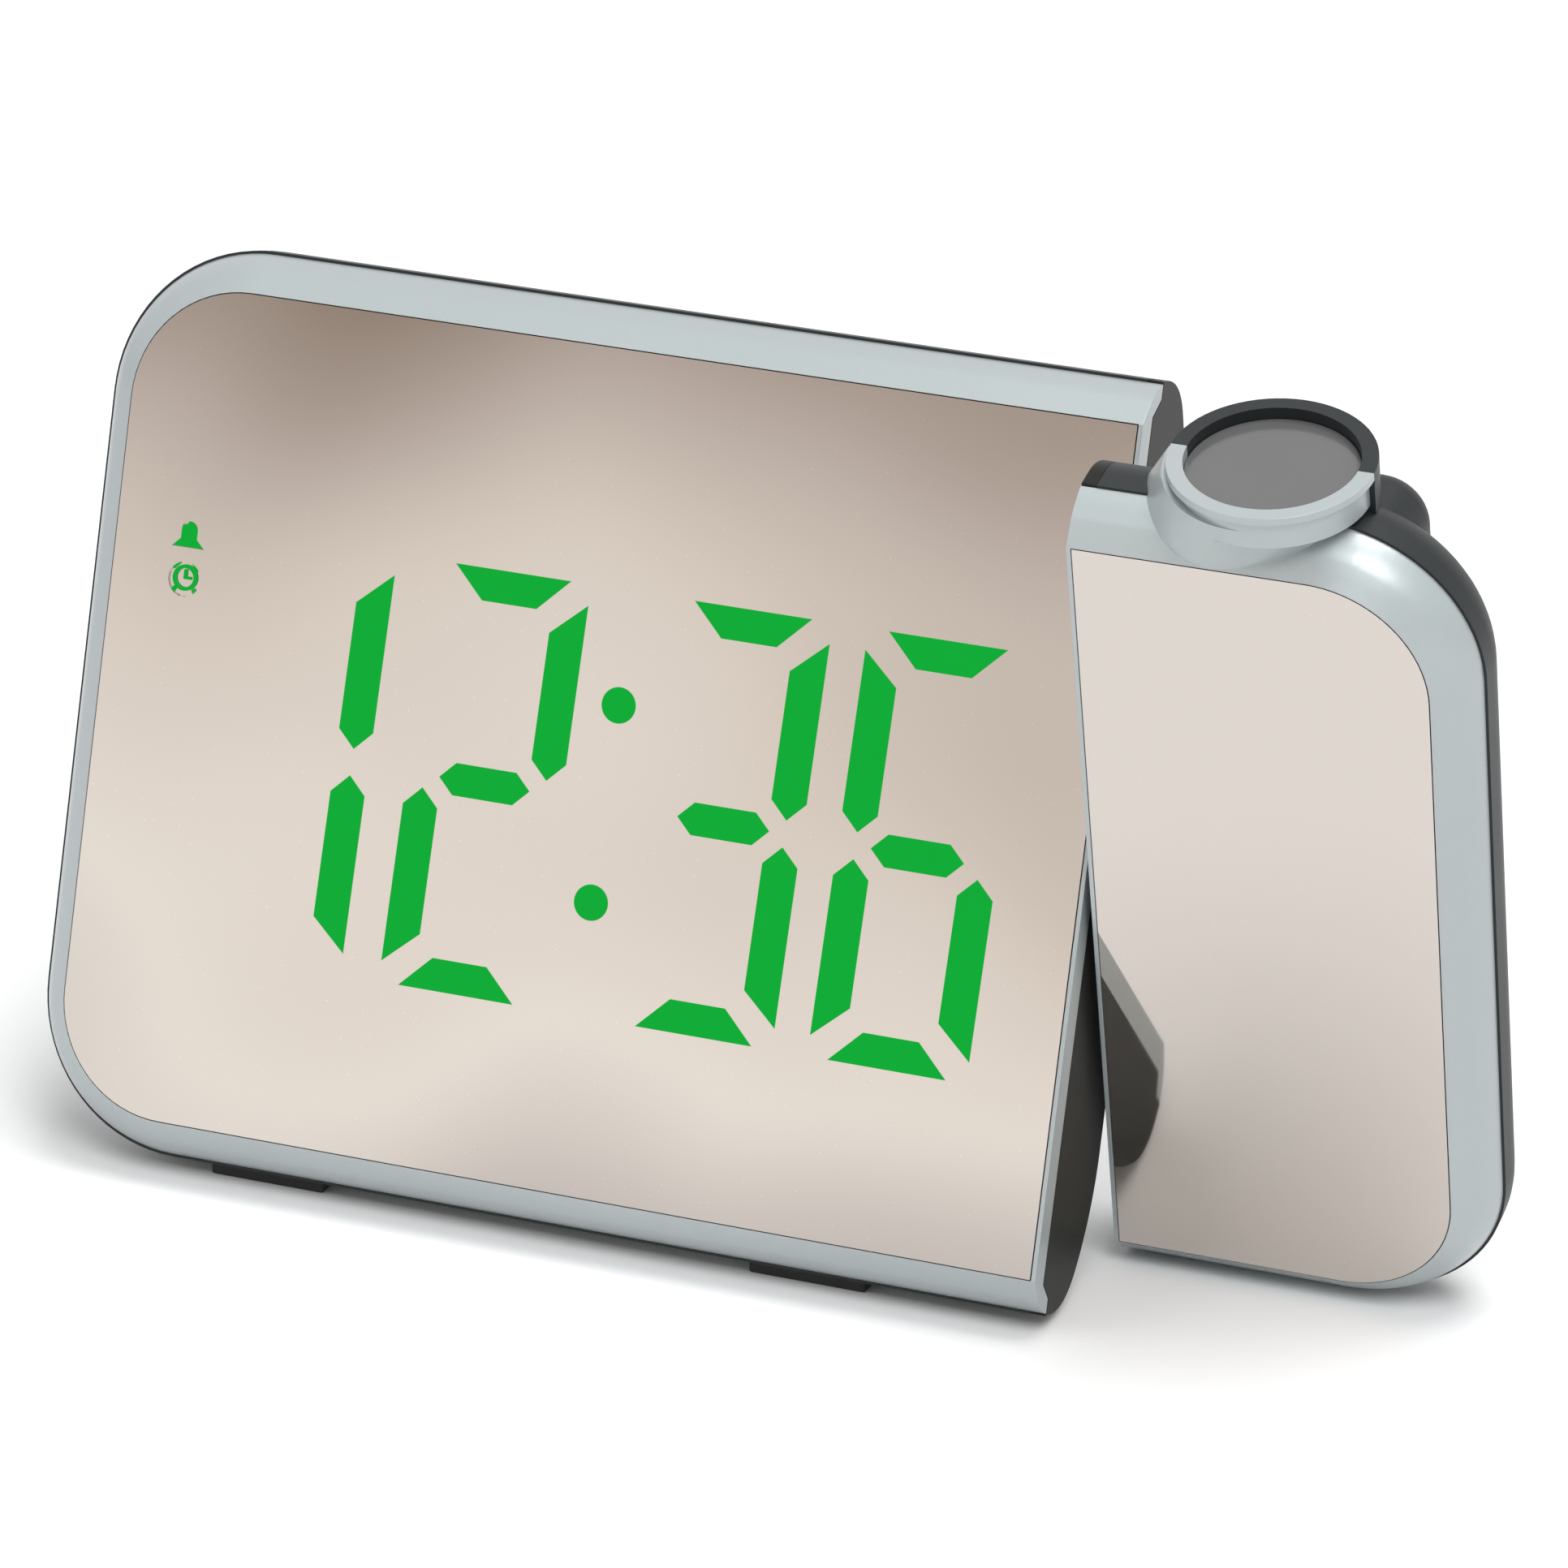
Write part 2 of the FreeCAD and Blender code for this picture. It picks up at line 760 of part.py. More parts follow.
def rear_shell(label, unit):
    """Build a black rear shell: rounded walls, a flat back and posts for the screws."""
    piece = Piece(label)
    end = unit.inner - unit.hand * S.wall
    piece.sweep("x", end, shell_section(), unit.path(end))
    inset = S.back_rise + S.plate_overlap / 2
    piece.add("y", CASE_BACK, S.housing_depth, unit.panel(inset, end))
    piece.add(
        "y",
        S.post_joint_depth,
        S.post_back_depth,
        *[Circle(x, z, S.post_radius) for x, z in screw_places(unit)],
    )
    piece.cut(
        "y",
        S.screw_head_front,
        S.housing_depth,
        *[Circle(x, z, S.screw_counterbore_radius) for x, z in screw_places(unit)],
    )
    piece.cut(
        "y",
        S.post_joint_depth,
        S.screw_head_front,
        *[Circle(x, z, S.screw_shank_radius) for x, z in screw_places(unit)],
    )
    return piece


def screws(label, unit):
    """Build a unit's case screws as one group."""
    piece = Piece(label)
    head_back = S.screw_head_front + S.screw_head_height
    places = screw_places(unit)
    shank_front = S.screw_head_front - S.screw_length
    piece.add("y", shank_front, head_back, *[Circle(x, z, S.screw_shank_radius) for x, z in places])
    piece.add(
        "y", S.screw_head_front, head_back, *[Circle(x, z, S.screw_head_radius) for x, z in places]
    )
    return piece


# Digits and their light box

DIGIT_TOP = S.digit_bottom + S.digit_height
DIGIT_MIDDLE = S.digit_bottom + S.digit_height / 2


def bar_outline(name, left):
    """Return one bar of a seven-bar digit whose cell starts at left."""
    wide, tall = S.segment_width, S.segment_height
    right, corner = left + S.digit_width, S.segment_corner
    low, high, middle = S.digit_bottom, DIGIT_TOP, DIGIT_MIDDLE
    inner_high, inner_low = high - corner - tall, low + corner + tall
    gap = S.segment_gap
    tip_rise = wide / 2
    bars = {
        "a": [(left + corner, high), (right - corner, high)]
        + [(right - corner - tall, high - tall), (left + corner + tall, high - tall)],
        "d": [(left + corner + tall, low + tall), (right - corner - tall, low + tall)]
        + [(right - corner, low), (left + corner, low)],
        "g": [(left + corner + gap, middle), (left + corner + gap + tall / 2, middle + tall / 2)]
        + [(right - corner - gap - tall / 2, middle + tall / 2), (right - corner - gap, middle)]
        + [(right - corner - gap - tall / 2, middle - tall / 2)]
        + [(left + corner + gap + tall / 2, middle - tall / 2)],
        "b": [(right, high - corner), (right, middle + gap + tip_rise)]
        + [(right - wide / 2, middle + gap), (right - wide, middle + gap + tip_rise)]
        + [(right - wide, inner_high)],
        "c": [(right, low + corner), (right - wide, inner_low)]
        + [(right - wide, middle - gap - tip_rise), (right - wide / 2, middle - gap)]
        + [(right, middle - gap - tip_rise)],
        "f": [(left, high - corner), (left + wide, inner_high)]
        + [(left + wide, middle + gap + tip_rise), (left + wide / 2, middle + gap)]
        + [(left, middle + gap + tip_rise)],
        "e": [(left, low + corner), (left, middle - gap - tip_rise)]
        + [(left + wide / 2, middle - gap), (left + wide, middle - gap - tip_rise)]
        + [(left + wide, inner_low)],
    }
    return [(x + S.digit_lean * (z - middle), z) for x, z in bars[name]]


def digit_lefts():
    """Return where the four digits' cells start."""
    places = (S.hours_tens_left, S.hours_ones_left, S.minutes_tens_left, S.minutes_ones_left)
    return [S.display_width + place for place in places]


def colon_dots():
    """Return the colon's two dots, as circles on the digits' lean."""
    dots = []
    for side in (1, -1):
        x = S.display_width + S.colon_x + side * S.digit_lean * S.colon_spread
        dots.append(Circle(x, DIGIT_MIDDLE + side * S.colon_spread, S.colon_radius))
    return dots


def lit_loops():
    """Return the outlines of the lit bars digit by digit, and then the colon's dots."""
    shown = zip(SHOWN_TIME, digit_lefts())
    loops = [[bar_outline(name, left) for name in LIT_BARS[digit]] for digit, left in shown]
    return loops + [colon_dots()]


def icon_loops():
    """Return the alarm sign: a small clock with feet and, above it, a plain bell."""
    radius = S.icon_radius
    x, z = S.icon_x, S.icon_z
    foot = radius / 2
    clock = Circle(x, z, radius)
    bell_base = z + S.bell_rise - radius
    bell = [
        (x - radius, bell_base),
        (x + radius, bell_base),
        (x + foot, bell_base + foot),
        (x + foot, bell_base + radius),
        Arc(x, bell_base + radius + foot, foot, 1),
        Arc(x - foot, bell_base + radius, foot, 1),
        (x - foot, bell_base + foot),
    ]
    return [clock, bell]


def lit_figures():
    """Build the lit time as thin inlays in the mirror's face."""
    piece = Piece("lit_digits")
    for loops in lit_loops():
        piece.add("y", 0, S.figure_depth, *loops)
    icon = Piece("alarm_sign")
    icon.add("y", 0, S.figure_depth, *icon_loops())
    return [piece, icon]


def display_mirror():
    """Build the display's mirror with shallow pockets for the lit figures."""
    piece = mirror_panel("display_mirror", DISPLAY)
    for loops in lit_loops() + [icon_loops()]:
        piece.cut("y", 0, S.figure_depth, *loops)
    return piece


def light_box():
    """Build the white block that keeps each bar's light apart behind the mirror."""
    piece = Piece("light_box")
    left, right = S.light_box_margin_x, BOARD_END
    piece.add(
        "y",
        S.mirror_thickness,
        BOARD_FRONT,
        box_loop(left, S.light_box_bottom, right, S.light_box_top),
    )
    for left_edge in digit_lefts():
        windows = [bar_outline(name, left_edge) for name in "abcdefg"]
        piece.cut("y", S.mirror_thickness, BOARD_FRONT, *windows)
    sign_z = S.icon_z + S.icon_radius / 2
    sign = Circle(S.icon_x, sign_z, S.icon_radius + S.light_box_window_growth)
    piece.cut("y", S.mirror_thickness, BOARD_FRONT, sign, *colon_dots())
    return piece


def led_set():
    """Build the surface-mounted lamps, one in each bar's window."""
    piece = Piece("led_set")
    loops = []
    for left in digit_lefts():
        places = []
        middle = left + S.digit_width / 2
        near, far = left + S.segment_width / 2, left + S.digit_width - S.segment_width / 2
        quarter = S.digit_height / 4
        inset = S.segment_height / 2
        places += [(middle, S.digit_bottom + inset), (middle, DIGIT_MIDDLE)]
        places += [(middle, DIGIT_TOP - inset)]
        places += [(x, DIGIT_MIDDLE + side * quarter) for x in (near, far) for side in (1, -1)]
        loops.append([centred(x, z, S.led_size, S.led_size) for x, z in places])
    loops.append([centred(*dot.point, S.led_size, S.led_size) for dot in colon_dots()])
    for group in loops:
        piece.add("y", BOARD_FRONT - S.led_height, BOARD_FRONT, *group)
    return piece


def button_places():
    """Return each rear button's name with its centre, from left to right as drawn."""
    return [
        (name, S.button_row_start + S.button_pitch * index, S.button_row_z)
        for index, name in enumerate(REAR_BUTTONS)
    ]


def main_board():
    """Build the display's circuit board and the parts that are soldered to its back."""
    board = Piece("main_board")
    board.add(
        "y",
        BOARD_FRONT,
        BOARD_BACK,
        box_loop(S.light_box_margin_x, S.board_bottom, BOARD_END, S.board_top),
    )
    chips = Piece("board_chips")
    chip_back = BOARD_BACK + S.chip_height
    near = S.buzzer_x - S.chip_offset
    chips.add(
        "y",
        BOARD_BACK,
        chip_back,
        centred(near, S.buzzer_z + S.main_chip_rise, S.main_chip_size, S.main_chip_size),
        centred(
            S.buzzer_x + S.clock_chip_offset,
            S.buzzer_z - S.clock_chip_drop,
            S.clock_chip_width,
            S.clock_chip_height,
        ),
        centred(
            near,
            S.buzzer_z - S.driver_chip_drop,
            S.driver_chip_width,
            S.driver_chip_height,
        ),
        centred(
            S.outlet_x - S.chip_offset,
            S.outlet_z - S.power_chip_drop,
            S.power_chip_width,
            S.power_chip_height,
        ),
    )
    switches = Piece("tact_switches")
    places = [(x, z) for _, x, z in button_places()]
    switch_back = BOARD_BACK + S.switch_height
    size = S.switch_size
    switches.add("y", BOARD_BACK, switch_back, *[centred(x, z, size, size) for x, z in places])
    switches.add(
        "y",
        BOARD_BACK,
        switch_back + S.switch_nub_height,
        *[Circle(x, z, S.switch_nub_radius) for x, z in places],
    )
    buzzer = Piece("buzzer")
    buzzer_back = BOARD_BACK + S.buzzer_height
    buzzer.add("y", BOARD_BACK, buzzer_back, Circle(S.buzzer_x, S.buzzer_z, S.buzzer_radius))
    buzzer.cut(
        "y",
        buzzer_back - S.door_slot_depth,
        buzzer_back,
        Circle(S.buzzer_x, S.buzzer_z, S.switch_nub_radius),
    )
    return [board, chips, switches, buzzer]


def backup_cell():
    """Build the coin cell, its holder on the board and its twist-in cover."""
    x, z = S.cell_x, S.cell_z
    holder = Piece("cell_holder")
    pocket = S.cell_radius + S.cell_clearance
    cell_front = BOARD_BACK + S.holder_floor
    cell_back = cell_front + S.cell_thickness
    holder.add("y", BOARD_BACK, cell_back, Circle(x, z, pocket + S.holder_wall))
    holder.cut("y", cell_front, cell_back, Circle(x, z, pocket))
    cell = Piece("coin_cell")
    cell.add("y", cell_front, cell_back, Circle(x, z, S.cell_radius))
    cover = Piece("cell_cover")
    front = S.housing_depth - S.door_thickness
    cover.add("y", front, S.housing_depth, Circle(x, z, S.door_radius))
    skirt = S.door_radius - S.door_ledge - S.door_clearance
    cover.add("y", front - S.door_skirt_height, front, Circle(x, z, skirt))
    cover.cut(
        "y",
        front - S.door_skirt_height,
        front - S.door_clearance,
        Circle(x, z, skirt - S.door_skirt_thickness),
    )
    cover.cut(
        "y",
        S.housing_depth - S.door_slot_depth,
        S.housing_depth,
        centred(x, z, S.door_slot_length, S.door_slot_width),
    )
    return [holder, cell, cover]


def push_button(label, x, z):
    """Build a rear push button with the flange that keeps it in the case."""
    piece = Piece(label)
    wide, tall, corner = S.button_width, S.button_height, S.button_corner
    flange_back = CASE_BACK - S.button_flange_gap
    flange_front = flange_back - S.button_flange_thickness
    grown = S.button_flange
    piece.add(
        "y",
        flange_back,
        S.housing_depth + S.button_proud,
        rounded_box(x - wide / 2, z - tall / 2, x + wide / 2, z + tall / 2, corner),
    )
    piece.add("y", flange_front, flange_back, centred(x, z, wide + grown * 2, tall + grown * 2))
    nub_back = BOARD_BACK + S.switch_height + S.switch_nub_height
    stem_front = nub_back + S.button_travel + S.running_clearance
    piece.add("y", stem_front, flange_front, Circle(x, z, S.button_stem_radius))
    return piece


def socket(label, x, z, width, height, wall, tongue_width, tongue_height, offset):
    """Build a socket on the board, open to the back, with its contact tongue."""
    piece = Piece(label)
    mouth = S.housing_depth - S.socket_setback
    floor = BOARD_BACK + S.socket_floor
    piece.add("y", BOARD_BACK, mouth, centred(x, z, width, height))
    piece.cut("y", floor, mouth, centred(x, z, width - wall * 2, height - wall * 2))
    piece.add("y", floor, mouth - S.tongue_setback, centred(x, z + offset, tongue_width, tongue_height))
    return piece


def sockets():
    """Build the power inlet and the charging outlet."""
    return [
        socket(
            "power_inlet",
            S.inlet_x,
            S.inlet_z,
            S.inlet_width,
            S.inlet_height,
            S.inlet_wall,
            S.inlet_tongue_width,
            S.inlet_tongue_height,
            0,
        ),
        socket(
            "charging_outlet",
            S.outlet_x,
            S.outlet_z,
            S.outlet_width,
            S.outlet_height,
            S.outlet_wall,
            S.outlet_tongue_width,
            S.outlet_tongue_height,
            S.outlet_tongue_offset,
        ),
    ]


def foot_loops(unit, setback, height):
    """Return a foot's section across X: a strip that lies flat on the floor."""
    angle = S.unit_lean
    sine, cosine = angle.sine() * unit.lean, angle.cosine()
    centre_z = S.back_small_radius if unit is DISPLAY else BEZEL_RADIUS
    middle = (S.bezel_depth - PIVOT_Y) * cosine - (centre_z - PIVOT_Z) * sine
    middle = middle + setback * unit.lean
    floor = -FLOOR_DROP
    half = S.foot_width / 2
    corners = [(middle - half, floor), (middle + half, floor)]
    corners += [(middle + half, floor + height), (middle - half, floor + height)]
    return [
        (PIVOT_Y + y * cosine + z * sine, PIVOT_Z - y * sine + z * cosine) for y, z in corners
    ]


# How far the floor lies below the hinge: the arm's bezel, at its lowest, plus the foot's lift
FLOOR_DROP = (
    (PIVOT_Z - BEZEL_RADIUS) * S.unit_lean.cosine()
    + BEZEL_RADIUS
    + (PIVOT_Y - S.bezel_depth) * S.unit_lean.sine()
    + S.foot_lift
)


def feet(label, unit, setback, height, spans):
    """Build a unit's rubber feet over the given spans along X."""
    piece = Piece(label)
    for low, high in spans:
        piece.add("x", low, high, foot_loops(unit, setback, height))
    return piece


def display_foot_spans():
    """Return where the display's two feet lie along X."""
    near = S.display_foot_edge_gap
    far = S.display_width - S.display_foot_edge_gap
    return [(near, near + S.display_foot_length), (far - S.display_foot_length, far)]


def arm_foot_spans():
    """Return where the arm's foot lies along X."""
    right = OVERALL_WIDTH - S.arm_foot_edge_gap
    return [(right - S.arm_foot_length, right)]


def display_rear_shell():
    """Build the display's rear shell with its openings, cover seat and sound holes."""
    piece = rear_shell("display_rear_shell", DISPLAY)
    room = S.button_clearance
    wide, tall = S.button_width / 2 + room, S.button_height / 2 + room
    holes = [
        rounded_box(x - wide, z - tall, x + wide, z + tall, S.button_corner + room)
        for _, x, z in button_places()
    ]
    for x, z, width, height in (
        (S.inlet_x, S.inlet_z, S.inlet_width, S.inlet_height),
        (S.outlet_x, S.outlet_z, S.outlet_width, S.outlet_height),
    ):
        grown = S.socket_clearance * 2
        holes.append(centred(x, z, width + grown, height + grown))
    holes.append(Circle(S.buzzer_x, S.buzzer_z, S.vent_radius))
    for index in range(6):
        turn = math.radians(60 * index)
        across, up = math.cos(turn), math.sin(turn)
        x = S.buzzer_x + S.vent_circle_radius * across
        z = S.buzzer_z + S.vent_circle_radius * up
        holes.append(Circle(x, z, S.vent_radius))
    holes.append(Circle(S.cell_x, S.cell_z, S.door_radius - S.door_ledge))
    piece.cut("y", CASE_BACK, S.housing_depth, *holes)
    seat = S.housing_depth - S.door_thickness - S.door_clearance / 2
    piece.cut(
        "y", seat, S.housing_depth, Circle(S.cell_x, S.cell_z, S.door_radius + S.door_clearance)
    )
    for low, high in display_foot_spans():
        piece.cut("x", low, high, foot_loops(DISPLAY, S.display_foot_setback, S.display_foot_height))
    return piece


def stop_groove():
    """Return the half-round slot that the arm's stop pin runs in, behind the hinge."""
    room = S.stop_pin_radius + S.stop_clearance
    outer, inner = S.stop_radius + room, S.stop_radius - room
    return [
        Arc(PIVOT_Y, PIVOT_Z - outer, room, 1),
        Arc(PIVOT_Y + outer, PIVOT_Z, outer, 1),
        Arc(PIVOT_Y, PIVOT_Z + outer, outer, 1),
        Arc(PIVOT_Y - room, PIVOT_Z + S.stop_radius, room, 1),
        Arc(PIVOT_Y, PIVOT_Z + inner, room, 1),
        Arc(PIVOT_Y + inner, PIVOT_Z, inner, -1),
        Arc(PIVOT_Y, PIVOT_Z - inner, inner, -1),
        Arc(PIVOT_Y - room, PIVOT_Z - S.stop_radius, room, 1),
    ]


def display_end_wall():
    """Build the display's glossy end wall with the bush's bore and the stop groove."""
    piece = Piece("display_end_wall")
    inner, outer = S.display_width - S.wall, S.display_width
    piece.add("x", inner, outer, end_wall_outline())
    piece.cut("x", inner, outer, Circle(PIVOT_Y, PIVOT_Z, S.bush_radius))
    piece.cut("x", outer - S.stop_groove_depth, outer, stop_groove())
    return piece


def hinge():
    """Build the hinge: bush, washers, hollow shaft and the clip that keeps it in."""
    face = S.display_width
    bush = Piece("hinge_bush")
    bush_end = face - S.bush_length
    wall_inner = face - S.wall
    ring = S.shaft_radius + S.running_clearance
    bush.add("x", bush_end, face, Circle(PIVOT_Y, PIVOT_Z, S.bush_radius))
    bush.add(
        "x",
        wall_inner - S.bush_flange_thickness,
        wall_inner,
        Circle(PIVOT_Y, PIVOT_Z, S.bush_flange_radius),
    )
    bush.cut("x", bush_end, face, Circle(PIVOT_Y, PIVOT_Z, ring))
    washer = Piece("friction_washer")
    room = S.shaft_radius + S.washer_clearance
    low, high = face + S.washer_face_gap, ARM_START - S.washer_face_gap
    washer.add("x", low, high, Circle(PIVOT_Y, PIVOT_Z, S.bush_radius))
    washer.cut("x", low, high, Circle(PIVOT_Y, PIVOT_Z, room))
    spring = Piece("spring_washer")
    spring_high = bush_end - S.washer_face_gap
    spring_low = spring_high - S.spring_washer_thickness
    spring.add("x", spring_low, spring_high, Circle(PIVOT_Y, PIVOT_Z, S.bush_radius))
    spring.cut("x", spring_low, spring_high, Circle(PIVOT_Y, PIVOT_Z, room))
    clip = Piece("shaft_clip")
    clip_high = spring_low - S.washer_face_gap
    clip_low = clip_high - S.clip_thickness
    clip.add("x", clip_low, clip_high, Circle(PIVOT_Y, PIVOT_Z, S.clip_radius))
    clip.cut("x", clip_low, clip_high, Circle(PIVOT_Y, PIVOT_Z, S.clip_groove_radius))
    slot = S.clip_groove_radius
    clip.cut(
        "x",
        clip_low,
        clip_high,
        box_loop(PIVOT_Y - slot / 2, PIVOT_Z, PIVOT_Y + slot / 2, PIVOT_Z + S.clip_radius * 2),
    )
    shaft = Piece("hinge_shaft")
    shaft_end = clip_low - S.shaft_tail
    flange = ARM_START + S.wall
    shaft_head = flange + S.shaft_flange_thickness
    shaft.add("x", shaft_end, shaft_head, Circle(PIVOT_Y, PIVOT_Z, S.shaft_radius))
    shaft.add("x", flange, shaft_head, Circle(PIVOT_Y, PIVOT_Z, S.shaft_flange_radius))
    shaft.cut(
        "x",
        clip_low,
        clip_high,
        Circle(PIVOT_Y, PIVOT_Z, S.shaft_radius + 1),
        Circle(PIVOT_Y, PIVOT_Z, S.clip_groove_radius),
    )
    shaft.cut("x", shaft_end, shaft_head, Circle(PIVOT_Y, PIVOT_Z, S.shaft_bore_radius))
    return [bush, washer, spring, clip, shaft]


def arm_end_wall():
    """Build the arm's end wall with the shaft's hole and the pin that stops its turn."""
    piece = Piece("arm_end_wall")
    inner, outer = ARM_START, ARM_START + S.wall
    piece.add("x", inner, outer, end_wall_outline())
    piece.cut("x", inner, outer, Circle(PIVOT_Y, PIVOT_Z, S.shaft_radius))
    reach = S.unit_gap + S.stop_groove_depth - S.running_clearance * 3
    piece.add(
        "x",
        inner - reach,
        inner,
        Circle(PIVOT_Y, PIVOT_Z - S.stop_radius, S.stop_pin_radius),
    )
    return piece


def half_disc(radius, side):
    """Return the front (-1) or rear (+1) half of a disc about the barrel, seen from above."""
    start, end = BARREL_X + side * radius, BARREL_X - side * radius
    middle = (BARREL_X, PIVOT_Y + side * radius)
    return [(start, PIVOT_Y), Arc(*middle, radius, 1), Arc(end, PIVOT_Y, radius, 1)]


def arm_front_frame():
    """Build the arm's silver frame, whose bezel rises as a saddle into the barrel's rim."""
    piece = front_frame("arm_front_frame", ARM)
    foot_z = S.housing_height - S.bezel_width
    left, right = BARREL_X - S.saddle_left_reach, BARREL_X + S.saddle_right_reach
    half, depth = (right - left) / 2, PIVOT_Y - S.saddle_front
    radius = (half * half + depth * depth) / (2 * depth)
    foot = [
        (left, PIVOT_Y),
        Arc(left + half, S.saddle_front, radius, 1),
        Arc(right, PIVOT_Y, radius, 1),
    ]
    rim = [
        (BARREL_X - S.barrel_radius, PIVOT_Y),
        Arc(BARREL_X, PIVOT_Y - S.barrel_radius, S.barrel_radius, 1),
        Arc(BARREL_X + S.barrel_radius, PIVOT_Y, S.barrel_radius, 1),
    ]
    piece.loft(foot_z, RIM_TOP, foot, rim)
    front_low = RIM_TOP - S.band_front_drop * 2 + S.band_side_drop
    side_low = RIM_TOP - S.band_side_drop
    slope_cut = [
        (PIVOT_Y - S.barrel_radius * 2, front_low),
        (PIVOT_Y, side_low),
        (PIVOT_Y, RIM_TOP + S.wall),
        (PIVOT_Y - S.barrel_radius * 2, RIM_TOP + S.wall),
    ]
    piece.cut("x", ARM_START, OVERALL_WIDTH, slope_cut)
    back = [
        (S.parting_depth, foot_z - S.wall),
        (PIVOT_Y, foot_z - S.wall),
        (PIVOT_Y, S.housing_height),
        (S.parting_depth, S.housing_height),
    ]
    piece.cut("x", ARM_START, OVERALL_WIDTH, back)
    floor = RIM_TOP - S.barrel_bore_depth
    piece.add("z", floor, RIM_TOP, half_disc(S.band_radius, -1))
    piece.add("z", RIM_TOP - S.lip_height, RIM_TOP, half_disc(S.barrel_radius, -1))
    piece.cut("z", floor, RIM_TOP, Circle(BARREL_X, PIVOT_Y, S.barrel_bore_radius))
    tube = S.tube_radius + S.tube_clearance
    piece.cut("z", foot_z - S.ledge_width, floor, Circle(BARREL_X, PIVOT_Y, tube))
    return piece


def hump_loop(inset):
    """Return the projector hump's outline, seen from behind, at an inset."""
    half = S.hump_half_width - inset
    return rounded_box(
        BARREL_X - half,
        HUMP_BOTTOM + inset,
        BARREL_X + half,
        HUMP_TOP - inset,
        S.hump_corner - inset,
    )


def arm_rear_shell():
    """Build the arm's rear shell with the projector hump and the rim's black half."""
    piece = rear_shell("arm_rear_shell", ARM)
    hump_back = S.housing_depth + S.hump_proud
    piece.add("y", PIVOT_Y + S.wall, hump_back, hump_loop(Dim(0, "0")))
    limit = hump_back.value - ZERO * 1000
    piece.round_edges(S.hump_edge_radius, lambda edge: edge.BoundBox.YMin > limit)
    piece.cut("y", S.parting_depth, hump_back - S.wall, hump_loop(S.wall))
    floor = RIM_TOP - S.barrel_bore_depth
    piece.add("z", HUMP_TOP - S.wall, RIM_TOP, half_disc(S.barrel_radius, 1))
    piece.cut("z", floor, RIM_TOP, Circle(BARREL_X, PIVOT_Y, S.barrel_bore_radius))
    rib_low, rib_high = FRONT_LENS_Z - S.wall * 2, FRONT_LENS_Z
    rib = S.wall * 2
    piece.add(
        "y",
        PIVOT_Y + S.wall * 2,
        hump_back - S.wall / 2,
        box_loop(BARREL_X - rib, rib_low, BARREL_X + rib, rib_high),
    )
    tube = S.tube_radius + S.tube_clearance
    piece.cut("z", rib_low, floor, Circle(BARREL_X, PIVOT_Y, tube))
    stem = S.focus_stem_radius + S.running_clearance
    piece.cut("y", CASE_BACK, hump_back, Circle(BARREL_X, FOCUS_Z, stem))
    room = S.button_clearance
    wide, tall = S.button_width / 2 + room, S.button_height / 2 + room
    x, z = BARREL_X, PROJECTOR_BUTTON_Z
    hole = rounded_box(x - wide, z - tall, x + wide, z + tall, S.button_corner + room)
    piece.cut("y", CASE_BACK, S.housing_depth, hole)
    pegs = [Circle(x + side * S.peg_spread, z, S.peg_radius) for side in (1, -1)]
    piece.add("y", BOARD_BACK, CASE_BACK + S.wall / 2, *pegs)
    for low, high in arm_foot_spans():
        piece.cut("x", low, high, foot_loops(ARM, S.arm_foot_setback, S.arm_foot_height))
    return piece


def lens(label, height):
    """Build a lens, flat below and round above, with its rim at a height in the tube."""
    piece = Piece(label)
    low, rim, top = height - S.lens_edge, height, height + S.lens_bulge
    radius = S.lens_radius
    curve = (radius * radius + S.lens_bulge * S.lens_bulge) / (2 * S.lens_bulge)
    section = [
        (PIVOT_Y, low),
        (PIVOT_Y + radius, low),
        (PIVOT_Y + radius, rim),
        Arc(PIVOT_Y, top, curve, 1),
    ]
    piece.turn(BARREL_X, PIVOT_Y, low, top, section)
    return piece


